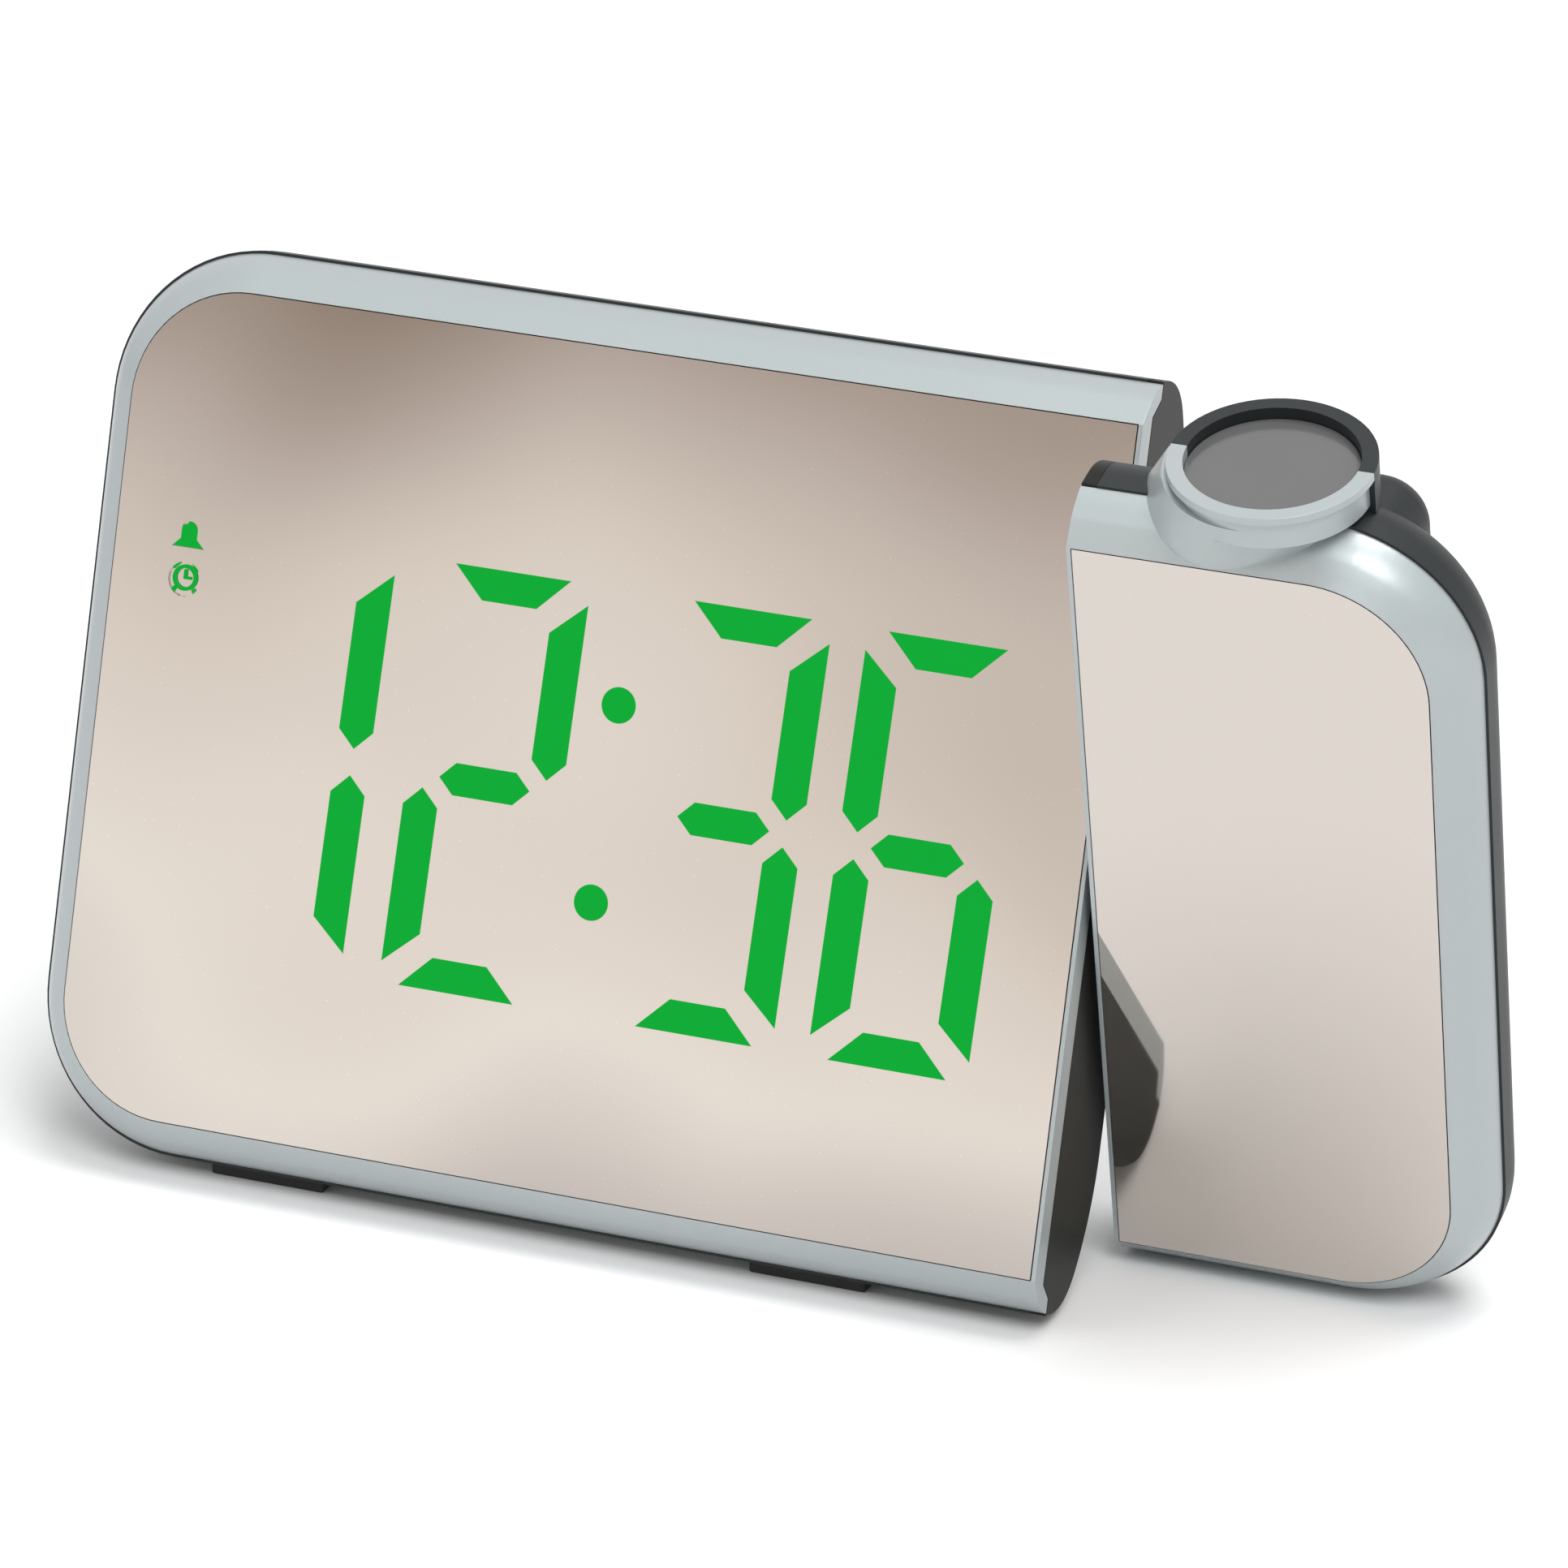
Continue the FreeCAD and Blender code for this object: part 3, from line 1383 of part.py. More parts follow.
def projector():
    """Build the optics: tube, window, lenses, time slide, lamp and its board."""
    floor = RIM_TOP - S.barrel_bore_depth
    window_top = RIM_TOP - S.window_recess
    window_low = window_top - S.window_thickness
    rim = S.barrel_bore_radius - S.tube_clearance
    tube = Piece("projector_tube")
    tube.add("z", TUBE_BOTTOM, window_low, Circle(BARREL_X, PIVOT_Y, S.tube_radius))
    tube.add("z", floor, window_low, Circle(BARREL_X, PIVOT_Y, rim))
    tube.cut("z", TUBE_BOTTOM, window_low, Circle(BARREL_X, PIVOT_Y, S.tube_bore_radius))
    window = Piece("projector_window")
    window.add("z", window_low, window_top, Circle(BARREL_X, PIVOT_Y, rim))
    slide_low = SLIDE_Z - S.slide_thickness / 2
    slide = Piece("time_slide")
    square = S.slide_size
    slide.add(
        "z", slide_low, slide_low + S.slide_thickness, centred(BARREL_X, PIVOT_Y, square, square)
    )
    mount = Piece("slide_mount")
    mount_low = slide_low - (S.slide_frame_thickness - S.slide_thickness) / 2
    mount_high = mount_low + S.slide_frame_thickness
    mount.add("z", mount_low, mount_high, Circle(BARREL_X, PIVOT_Y, S.lens_radius))
    mount.cut("z", mount_low, mount_high, centred(BARREL_X, PIVOT_Y, square, square))
    board = Piece("projector_board")
    wide, deep = S.projector_board_width, S.projector_board_depth
    board.add(
        "z",
        TUBE_BOTTOM - S.board_thickness,
        TUBE_BOTTOM,
        centred(BARREL_X, PIVOT_Y, wide, deep),
    )
    lamp = Piece("projector_lamp")
    lamp_top = TUBE_BOTTOM + S.projector_led_height
    lamp.add("z", TUBE_BOTTOM, lamp_top, Circle(BARREL_X, PIVOT_Y, S.projector_led_radius))
    lenses = [lens("condenser_lens", CONDENSER_Z), lens("projection_lens", FRONT_LENS_Z)]
    return [tube, window, slide, mount, board, lamp] + lenses


def focus_knob():
    """Build the ribbed focus knob on the hump, with its stem through the wall."""
    piece = Piece("focus_knob")
    front = S.housing_depth + S.hump_proud + S.focus_gap
    back = front + S.focus_knob_proud
    grip = []
    for index in range(FOCUS_RIBS * 2):
        turn = math.pi * index / FOCUS_RIBS
        reach = S.focus_knob_radius - (S.focus_grip_depth if index % 2 else 0)
        grip.append((BARREL_X + reach * math.cos(turn), FOCUS_Z + reach * math.sin(turn)))
    piece.add("y", front, back, grip)
    stem_front = PIVOT_Y + S.tube_radius + S.button_travel
    piece.add("y", stem_front, front, Circle(BARREL_X, FOCUS_Z, S.focus_stem_radius))
    return piece


def switch_board():
    """Build the small board in the arm with the projector's switch on it."""
    x, z = BARREL_X, PROJECTOR_BUTTON_Z
    board = Piece("arm_switch_board")
    wide = S.peg_spread * 2 + S.peg_radius * 4
    tall = S.switch_size + S.peg_radius * 4
    board.add("y", BOARD_FRONT, BOARD_BACK, centred(x, z, wide, tall))
    switch = Piece("arm_tact_switch")
    size = S.switch_size
    switch_back = BOARD_BACK + S.switch_height
    switch.add("y", BOARD_BACK, switch_back, centred(x, z, size, size))
    nub_back = switch_back + S.switch_nub_height
    switch.add("y", BOARD_BACK, nub_back, Circle(x, z, S.switch_nub_radius))
    return [board, switch]


def unit_placement(unit, shift_x, shift_y):
    """Return the placement that leans a unit about the hinge and stands it on the floor."""
    angle = unit.lean * S.unit_lean.value
    lift = FLOOR_DROP.value - PIVOT_Z.value
    return FreeCAD.Placement(
        FreeCAD.Vector(shift_x, shift_y, lift),
        FreeCAD.Rotation(FreeCAD.Vector(1, 0, 0), angle),
        FreeCAD.Vector(0, PIVOT_Y.value, PIVOT_Z.value),
    )


def check_document():
    """Stop if any object of the document failed or a sub-part has no sound shape."""
    for item in doc.Objects:
        if "Invalid" in item.State or "Error" in item.State:
            raise RuntimeError(f"{item.Name} failed: {item.State}")
    for piece in DISPLAY_PIECES + ARM_PIECES:
        shape = piece.body.Shape
        if shape.isNull() or not shape.isValid() or shape.Volume <= 0:
            raise RuntimeError(f"{piece.label} has no sound shape")


def place_all(shift_x, shift_y):
    """Place every sub-part with its unit."""
    for unit, pieces in ((DISPLAY, DISPLAY_PIECES), (ARM, ARM_PIECES)):
        for piece in pieces:
            piece.body.Placement = unit_placement(unit, shift_x, shift_y)


def overall_bounds():
    """Return the box round every sub-part as it stands."""
    bounds = FreeCAD.BoundBox()
    for piece in DISPLAY_PIECES + ARM_PIECES:
        bounds.add(piece.body.Shape.optimalBoundingBox())
    return bounds


bush, washer, spring, clip, shaft = hinge()
DISPLAY_PIECES = [
    front_frame("display_front_frame", DISPLAY),
    display_mirror(),
    *lit_figures(),
    light_box(),
    led_set(),
    *main_board(),
    *backup_cell(),
    *sockets(),
    display_rear_shell(),
    display_end_wall(),
    screws("display_screws", DISPLAY),
    feet(
        "display_feet",
        DISPLAY,
        S.display_foot_setback,
        S.display_foot_height,
        display_foot_spans(),
    ),
    *[push_button(name, x, z) for name, x, z in button_places()],
    bush,
    washer,
    spring,
]
ARM_PIECES = [
    arm_front_frame(),
    mirror_panel("arm_mirror", ARM),
    arm_rear_shell(),
    arm_end_wall(),
    screws("arm_screws", ARM),
    feet("arm_foot", ARM, S.arm_foot_setback, S.arm_foot_height, arm_foot_spans()),
    *projector(),
    focus_knob(),
    *switch_board(),
    push_button("projector_button", BARREL_X, PROJECTOR_BUTTON_Z),
    clip,
    shaft,
]

doc.recompute()
check_document()
place_all(0, 0)
doc.recompute()
bounds = overall_bounds()
place_all(-bounds.Center.x, -bounds.Center.y)
doc.recompute()
check_document()

os.makedirs("parts", exist_ok=True)
for piece in DISPLAY_PIECES + ARM_PIECES:
    piece.body.Shape.exportStep(f"parts/{piece.label}.step")
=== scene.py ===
"""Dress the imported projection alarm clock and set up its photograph.

The clock is two mirror-faced units on one sideways hinge: a wide display unit that leans
back and a narrow projector arm that leans forward. Each class below dresses one
sub-assembly of it on the fixed frame that the library packed.
"""

from __future__ import annotations

import logging
import math
from dataclasses import dataclass, field
from enum import Enum
from typing import Sequence

import bmesh
import bpy
from mathutils import Matrix, Quaternion, Vector

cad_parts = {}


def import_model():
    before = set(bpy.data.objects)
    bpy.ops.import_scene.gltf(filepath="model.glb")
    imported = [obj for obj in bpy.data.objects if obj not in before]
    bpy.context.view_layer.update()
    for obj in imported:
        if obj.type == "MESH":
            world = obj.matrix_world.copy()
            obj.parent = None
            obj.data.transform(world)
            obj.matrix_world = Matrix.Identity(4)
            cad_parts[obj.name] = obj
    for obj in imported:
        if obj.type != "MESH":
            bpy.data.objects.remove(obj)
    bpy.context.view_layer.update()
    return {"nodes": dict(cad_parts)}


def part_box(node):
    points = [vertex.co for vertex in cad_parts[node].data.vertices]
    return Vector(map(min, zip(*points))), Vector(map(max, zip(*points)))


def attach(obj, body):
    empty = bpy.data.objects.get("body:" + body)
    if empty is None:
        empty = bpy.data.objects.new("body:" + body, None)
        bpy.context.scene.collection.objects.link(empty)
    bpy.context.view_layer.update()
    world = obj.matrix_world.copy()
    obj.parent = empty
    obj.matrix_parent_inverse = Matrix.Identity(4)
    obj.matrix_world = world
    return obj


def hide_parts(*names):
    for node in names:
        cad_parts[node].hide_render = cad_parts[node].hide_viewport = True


LOG = logging.getLogger("projection_clock")

Colour = tuple[float, float, float]
Point = tuple[float, float]
Corner = tuple[float, float, float]
Outline = Sequence[Point]
Values = dict[str | int, object]
Sockets = dict[str, tuple[str, object]]
BMesh = bmesh.types.BMesh
Node, Object, Socket = bpy.types.Node, bpy.types.Object, bpy.types.NodeSocket
Outputs = bpy.types.bpy_prop_collection
MM = 0.001
ORIGIN = (0.0, 0.0)
TOLERANCE = 1e-6


class Lean(Enum):
    """How far each unit leans about the hinge, in degrees."""

    DISPLAY = -15.75
    ARM = 15.75


@dataclass(frozen=True)
class UnitSpace:
    """The upright, closed drawing space of a unit, in millimetres, and its pieces' body."""

    lean: Lean
    body: str
    left: float = -84.9
    hinge_y: float = 9.1
    hinge_z: float = 49.3

    def matrix(self) -> Matrix:
        """Return the transform from the drawing space to the clock's place in metres.

        Returns:
            The lean about the hinge, with the scale from millimetres.
        """
        low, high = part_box("hinge_bush")
        hinge = Vector((self.left * MM, (low[1] + high[1]) / 2, (low[2] + high[2]) / 2))
        turn = Matrix.Rotation(math.radians(self.lean.value), 4, "X")
        back = Matrix.Translation((0.0, -self.hinge_y * MM, -self.hinge_z * MM))
        return Matrix.Translation(hinge) @ turn @ back @ Matrix.Scale(MM, 4)

    def piece(self, name: str, data: bpy.types.Mesh, finish: Finish) -> Object:
        """Make a piece of a mesh that is drawn in this space.

        Args:
            name: The piece's name.
            data: The mesh.
            finish: The piece's finish.

        Returns:
            The new object, at the origin.
        """
        data.transform(self.matrix())
        if not data.materials:
            data.materials.append(finish.material())
        made = new_object(name, data)
        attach(made, self.body)
        LOG.info("made %s", name)
        return made


def new_object(name: str, data: bpy.types.ID) -> Object:
    """Return a new object of the scene, at the origin."""
    made = bpy.data.objects.new(name, data)
    bpy.context.scene.collection.objects.link(made)
    return made


# Node trees


class Tree:
    """A thin wrapper that adds and links the nodes of one tree."""

    def __init__(self, tree: bpy.types.NodeTree) -> None:
        """Keep the tree and start from an empty one."""
        self.tree = tree
        self.tree.nodes.clear()
        self.column = 0

    def add(self, kind: str, **settings: object) -> Node:
        """Add a node.

        Args:
            kind: The node's type name.
            **settings: Properties of the node; names of input sockets are not among them.

        Returns:
            The new node.
        """
        node = self.tree.nodes.new(kind)
        node.location = (self.column * 180, 0)
        self.column += 1
        for name, value in settings.items():
            setattr(node, name, value)
        return node

    def link(self, start: Socket, end: Socket) -> None:
        """Link an output to an input."""
        self.tree.links.new(start, end)

    def fill(self, node: Node, values: Values) -> None:
        """Set or link a node's inputs.

        Args:
            node: The node.
            values: What each input takes: a number, a colour or an output socket.
        """
        for name, value in values.items():
            if isinstance(value, Socket):
                self.link(value, node.inputs[name])
            else:
                node.inputs[name].default_value = value

    def math(self, operation: str, *values: object) -> Socket:
        """Add a math node.

        Args:
            operation: The operation's name.
            *values: Numbers or output sockets, in the order of the inputs.

        Returns:
            The result socket.
        """
        node = self.add("ShaderNodeMath", operation=operation)
        self.fill(node, dict(enumerate(values)))
        return node.outputs[0]

    def bump(self, height: Socket, strength: float, depth: float) -> Socket:
        """Add a bump node and return its normal; the depth is in metres."""
        node = self.add("ShaderNodeBump")
        self.fill(node, {"Strength": strength, "Distance": depth, "Height": height})
        return node.outputs["Normal"]


NUMBER, COLOUR, VECTOR = "NodeSocketFloat", "NodeSocketColor", "NodeSocketVector"
MIDDLE_GREY = (0.5, 0.5, 0.5, 1.0)


class SharedGroup:
    """A node group that is built once and used by all that need it.

    Its inputs and outputs are given as a type and a default value each.
    """

    NAME = "clock_group"
    KIND = "ShaderNodeTree"
    INPUTS: Sockets = {}
    OUTPUTS: Sockets = {}

    @classmethod
    def get(cls) -> bpy.types.NodeTree:
        """Return the shared group.

        Returns:
            The group, with the class's inputs and outputs.
        """
        if cls.NAME not in bpy.data.node_groups:
            group = bpy.data.node_groups.new(cls.NAME, cls.KIND)
            for flow, named in (("INPUT", cls.INPUTS), ("OUTPUT", cls.OUTPUTS)):
                for name, (kind, value) in named.items():
                    item = group.interface.new_socket(name=name, in_out=flow, socket_type=kind)
                    if value is not None:
                        item.default_value = value
            tree = Tree(group)
            given = tree.add("NodeGroupInput").outputs
            results = cls.build(tree, given)
            tree.fill(tree.add("NodeGroupOutput"), results)
        return bpy.data.node_groups[cls.NAME]

    @classmethod
    def build(cls, tree: Tree, given: Outputs) -> Values:
        """Add the group's nodes.

        Args:
            tree: The group's tree.
            given: What the group's input node gives.

        Returns:
            What goes to each output.
        """
        raise NotImplementedError


class SurfaceGroup(SharedGroup):
    """Moulded or sprayed surface: soft tone changes, uneven gloss and a fine grain."""

    NAME = "clock_surface"
    INPUTS = {
        "Vector": (VECTOR, None),
        "Base Colour": (COLOUR, MIDDLE_GREY),
        "Tone Change": (NUMBER, 0.04),
        "Tone Scale": (NUMBER, 40.0),
        "Grain Scale": (NUMBER, 2500.0),
        "Base Roughness": (NUMBER, 0.4),
        "Gloss Change": (NUMBER, 0.06),
        "Speckle": (NUMBER, 0.0),
    }
    OUTPUTS = {"Colour": (COLOUR, None), "Roughness": (NUMBER, None), "Height": (NUMBER, None)}
    TONE_DETAIL, GRAIN_DETAIL = 3.0, 2.0

    @classmethod
    def build(cls, tree: Tree, given: Outputs) -> Values:
        """Add the group's nodes; see SharedGroup.build."""
        clouds = {}
        for name, detail in (("Tone", cls.TONE_DETAIL), ("Grain", cls.GRAIN_DETAIL)):
            noise = tree.add("ShaderNodeTexNoise")
            scale = given[name + " Scale"]
            tree.fill(noise, {"Vector": given["Vector"], "Scale": scale, "Detail": detail})
            clouds[name] = noise.outputs["Fac"]
        swing = tree.math("SUBTRACT", clouds["Tone"], 0.5)
        flecks = tree.math("SUBTRACT", clouds["Grain"], 0.5)
        soft = tree.math("MULTIPLY", swing, given["Tone Change"])
        sharp = tree.math("MULTIPLY", flecks, given["Speckle"])
        total = tree.math("ADD", tree.math("ADD", soft, sharp), 1.0)
        toned = tree.add("ShaderNodeVectorMath", operation="SCALE")
        tree.fill(toned, {0: given["Base Colour"], "Scale": total})
        gloss = tree.math("MULTIPLY", swing, given["Gloss Change"])
        rough = tree.math("ADD", gloss, given["Base Roughness"])
        colour = toned.outputs["Vector"]
        return {"Colour": colour, "Roughness": rough, "Height": clouds["Grain"]}


class SmudgeGroup(SharedGroup):
    """Wiped glass: faint cloudy smears and a few fine specks of dust."""

    NAME = "clock_smudges"
    INPUTS = {
        "Vector": (VECTOR, None),
        "Clean Roughness": (NUMBER, 0.03),
        "Smear": (NUMBER, 0.05),
        "Smear Scale": (NUMBER, 28.0),
        "Dust Scale": (NUMBER, 900.0),
    }
    OUTPUTS = {"Roughness": (NUMBER, None), "Dust": (NUMBER, None)}
    SMEAR_DETAIL, SMEAR_WAVE, SPECK_SIZE = 4.0, 0.8, 0.045

    @classmethod
    def build(cls, tree: Tree, given: Outputs) -> Values:
        """Add the group's nodes; see SharedGroup.build."""
        smear = tree.add("ShaderNodeTexNoise")
        cloud = {"Detail": cls.SMEAR_DETAIL, "Distortion": cls.SMEAR_WAVE}
        tree.fill(smear, {**cloud, "Vector": given["Vector"], "Scale": given["Smear Scale"]})
        dust = tree.add("ShaderNodeTexVoronoi")
        tree.fill(dust, {"Vector": given["Vector"], "Scale": given["Dust Scale"]})
        hazy = tree.math("MULTIPLY", smear.outputs["Fac"], given["Smear"])
        return {
            "Roughness": tree.math("ADD", hazy, given["Clean Roughness"]),
            "Dust": tree.math("LESS_THAN", dust.outputs["Distance"], cls.SPECK_SIZE),
        }


# Finishes


def blank_material(name: str) -> tuple[bpy.types.Material, Tree, Node]:
    """Make a material whose tree holds nothing but its output.

    Args:
        name: The material's name.

    Returns:
        The material, its tree and the output node.
    """
    made = bpy.data.materials.new(name)
    made.use_nodes = True
    tree = Tree(made.node_tree)
    return made, tree, tree.add("ShaderNodeOutputMaterial")


@dataclass(frozen=True)
class Finish:
    """A moulded, sprayed or metal surface.

    Colours are linear. Sizes of tone and grain are in cycles per metre.
    """

    name: str
    colour: Colour
    roughness: float
    metallic: float = 0.0
    tone: float = 0.05
    tone_scale: float = 40.0
    grain_scale: float = 2500.0
    grain_depth: float = 0.00002
    grain_strength: float = 0.12
    gloss_change: float = 0.08
    speckle: float = 0.0
    coat: float = 0.0
    coat_roughness: float = 0.08
    specular: float = 0.5

    def material(self) -> bpy.types.Material:
        """Return the finish's material, built once.

        Returns:
            The material.
        """
        if self.name in bpy.data.materials:
            return bpy.data.materials[self.name]
        made, tree, output = blank_material(self.name)
        made.diffuse_color = (*self.colour, 1.0)
        shader = tree.add("ShaderNodeBsdfPrincipled")
        tree.link(shader.outputs["BSDF"], output.inputs["Surface"])
        place = tree.add("ShaderNodeTexCoord")
        tree.fill(shader, self.dress(tree, place.outputs["Object"]))
        return made

    def surface(self, tree: Tree, place: Socket) -> Outputs:
        """Place the shared surface group with this finish's values.

        Args:
            tree: The material's tree.
            place: The object coordinates.

        Returns:
            The group's outputs.
        """
        node = tree.add("ShaderNodeGroup", node_tree=SurfaceGroup.get())
        tree.fill(
            node,
            {
                "Vector": place,
                "Base Colour": (*self.colour, 1.0),
                "Tone Change": self.tone,
                "Tone Scale": self.tone_scale,
                "Grain Scale": self.grain_scale,
                "Base Roughness": self.roughness,
                "Gloss Change": self.gloss_change,
                "Speckle": self.speckle,
            },
        )
        return node.outputs

    def smudges(self, tree: Tree, place: Socket, smear: float) -> Outputs:
        """Place the shared smudge group.

        Args:
            tree: The material's tree.
            place: The object coordinates.
            smear: How much the smears roughen the glass.

        Returns:
            The group's outputs.
        """
        node = tree.add("ShaderNodeGroup", node_tree=SmudgeGroup.get())
        values = {"Vector": place, "Clean Roughness": self.roughness, "Smear": smear}
        tree.fill(node, values)
        return node.outputs

    def dress(self, tree: Tree, place: Socket) -> Values:
        """Add the nodes that feed the Principled shader.

        Args:
            tree: The material's tree.
            place: The object coordinates.

        Returns:
            What the shader's inputs take.
        """
        surface = self.surface(tree, place)
        return {
            "Metallic": self.metallic,
            "Coat Weight": self.coat,
            "Coat Roughness": self.coat_roughness,
            "Specular IOR Level": self.specular,
            "Base Color": surface["Colour"],
            "Roughness": surface["Roughness"],
            "Normal": tree.bump(surface["Height"], self.grain_strength, self.grain_depth),
        }


@dataclass(frozen=True)
class MirrorFinish(Finish):
    """Half mirror: a warm grey metal film with faint wipe marks and dust."""

    smear: float = 0.05
    dust_colour: Colour = (0.72, 0.71, 0.68)

    def dress(self, tree: Tree, place: Socket) -> Values:
        """Add the nodes that feed the shader; see Finish.dress."""
        smudges = self.smudges(tree, place, self.smear)
        clean = self.surface(tree, place)["Colour"]
        dusty = tree.add("ShaderNodeMix", data_type="RGBA")
        dust = (*self.dust_colour, 1.0)
        tree.fill(dusty, {"Factor": smudges["Dust"], "A": clean, "B": dust})
        return {
            "Metallic": self.metallic,
            "Coat Weight": self.coat,
            "Coat Roughness": self.coat_roughness,
            "Base Color": dusty.outputs["Result"],
            "Roughness": smudges["Roughness"],
        }


@dataclass(frozen=True)
class LitFinish(Finish):
    """Light seen through the half mirror, even all over."""

    glow: float = 1.0
    unlit_share: float = 0.02

    def dress(self, tree: Tree, place: Socket) -> Values:
        """Add the nodes that feed the shader; see Finish.dress."""
        surface = self.surface(tree, place)
        return {
            "Base Color": (*(part * self.unlit_share for part in self.colour), 1.0),
            "Specular IOR Level": self.specular,
            "Emission Strength": self.glow,
            "Emission Color": surface["Colour"],
            "Roughness": surface["Roughness"],
        }


@dataclass(frozen=True)
class LensFinish(Finish):
    """Clear moulded lens."""

    ior: float = 1.49
    smear: float = 0.03

    def dress(self, tree: Tree, place: Socket) -> Values:
        """Add the nodes that feed the shader; see Finish.dress."""
        return {
            "Transmission Weight": 1.0,
            "IOR": self.ior,
            "Base Color": (*self.colour, 1.0),
            "Roughness": self.smudges(tree, place, self.smear)["Roughness"],
        }


@dataclass(frozen=True)
class BoardFinish(Finish):
    """Circuit board: green solder mask over faint copper tracks."""

    track_scale: float = 420.0
    track_edges: Point = (0.55, 0.6)
    track_brightness: float = 1.7
    track_strength: float = 0.4
    track_depth: float = 0.00004

    def dress(self, tree: Tree, place: Socket) -> Values:
        """Add the nodes that feed the shader; see Finish.dress."""
        cells = tree.add("ShaderNodeTexVoronoi", distance="MANHATTAN", feature="F1")
        tree.fill(cells, {"Scale": self.track_scale, "Vector": place})
        tracks = tree.add("ShaderNodeMapRange")
        low, high = self.track_edges
        distance = cells.outputs["Distance"]
        tree.fill(tracks, {"From Min": low, "From Max": high, "Value": distance})
        raised = tracks.outputs["Result"]
        blend = tree.add("ShaderNodeMix", data_type="RGBA")
        bright = [part * self.track_brightness for part in self.colour]
        tree.fill(blend, {"Factor": raised, "A": (*self.colour, 1.0), "B": (*bright, 1.0)})
        return {
            "Coat Weight": self.coat,
            "Base Color": blend.outputs["Result"],
            "Roughness": self.roughness,
            "Normal": tree.bump(raised, self.track_strength, self.track_depth),
        }


SILVER = Finish(
    "silver_paint", (0.375, 0.415, 0.422), 0.36, metallic=0.35, tone=0.05, tone_scale=22.0,
    grain_scale=9000.0, grain_strength=0.25, speckle=0.16, coat=0.25, coat_roughness=0.22
)
BLACK_SHELL = Finish(
    "black_moulding", (0.013, 0.016, 0.017), 0.46, specular=0.28, tone=0.12, grain_scale=6500.0,
    grain_strength=0.45, gloss_change=0.1, speckle=0.1
)
GLOSSY_END = Finish(
    "glossy_end_moulding", (0.013, 0.0138, 0.012), 0.42, specular=0.12, tone=0.08,
    grain_scale=400.0, grain_strength=0.05
)
MIRROR = MirrorFinish(
    "warm_half_mirror", (0.565, 0.52, 0.48), 0.02, metallic=1.0, tone=0.05, tone_scale=9.0,
    coat=0.2, coat_roughness=0.03
)
LIT_GREEN = LitFinish(
    "lit_bars", (0.004, 0.40, 0.036), 0.5, tone=0.05, tone_scale=120.0, gloss_change=0.06,
    specular=0.03
)
WHITE_BLOCK = Finish("white_moulding", (0.78, 0.78, 0.75), 0.5, tone=0.04)
LAMP = Finish("lamp_phosphor", (0.75, 0.68, 0.30), 0.25, tone=0.1, tone_scale=900.0, coat=0.6)
BOARD = BoardFinish("circuit_board", (0.012, 0.105, 0.042), 0.3, coat=0.3)
CHIP = Finish("black_resin", (0.02, 0.02, 0.022), 0.55, tone=0.1, grain_strength=0.3)
TUBE = Finish("tube_moulding", (0.018, 0.018, 0.019), 0.6, tone=0.1, grain_strength=0.4)
PLATED = Finish(
    "plated_steel", (0.62, 0.62, 0.60), 0.24, metallic=1.0, tone=0.1, tone_scale=300.0,
    grain_scale=5000.0, grain_strength=0.15
)
DARK_STEEL = Finish(
    "dark_screw_steel", (0.16, 0.16, 0.165), 0.32, metallic=1.0, tone=0.2, tone_scale=500.0,
    grain_scale=4200.0, grain_strength=0.3
)
GOLD = Finish("gold_contact", (0.78, 0.55, 0.20), 0.22, metallic=1.0, tone=0.1)
ACETAL = Finish("natural_acetal", (0.72, 0.70, 0.64), 0.45, tone=0.05)
BUTTON = Finish(
    "button_moulding", (0.040, 0.044, 0.047), 0.34, tone=0.1, grain_scale=5000.0,
    grain_strength=0.25
)
PRINT = Finish("pale_print", (0.62, 0.63, 0.63), 0.55, tone=0.12, tone_scale=1500.0)
RUBBER = Finish(
    "rubber_pad", (0.017, 0.017, 0.017), 0.78, tone=0.15, grain_scale=3000.0, grain_strength=0.6
)
SLIDE = Finish("crystal_panel", (0.03, 0.04, 0.06), 0.1, tone=0.1, coat=0.8)
WINDOW = Finish(
    "smoked_window", (0.105, 0.105, 0.107), 0.2, tone=0.1, tone_scale=160.0, grain_scale=1200.0,
    grain_strength=0.05, coat=0.3, coat_roughness=0.06
)
CLEAR = LensFinish("clear_lens", (0.94, 0.96, 0.96), 0.01)


# Meshes


def disc(centre: Point, radius: float, sides: int) -> list[Point]:
    """Return the corners of a regular polygon about a centre."""
    return [polar(centre, radius, 2 * math.pi * index / sides) for index in range(sides)]


def polar(centre: Point, radius: float, turn: float) -> Point:
    """Return the point at a radius and a turn, in radians, from a centre."""
    return (centre[0] + radius * math.cos(turn), centre[1] + radius * math.sin(turn))


def arc(centre: Point, radius: float, span: Point, count: int) -> list[Point]:
    """Return points along an arc.

    Args:
        centre: Its centre.
        radius: Its radius.
        span: Where it starts and ends, in degrees.
        count: How many points it has, with both ends.

    Returns:
        The points in order.
    """
    first, last = (math.radians(turn) for turn in span)
    steps = [first + (last - first) * index / (count - 1) for index in range(count)]
    return [polar(centre, radius, turn) for turn in steps]


def flipped(outline: Outline) -> list[Point]:
    """Return an outline mirrored about its upright axis, in reverse order."""
    return [(-x, z) for x, z in reversed(outline)]


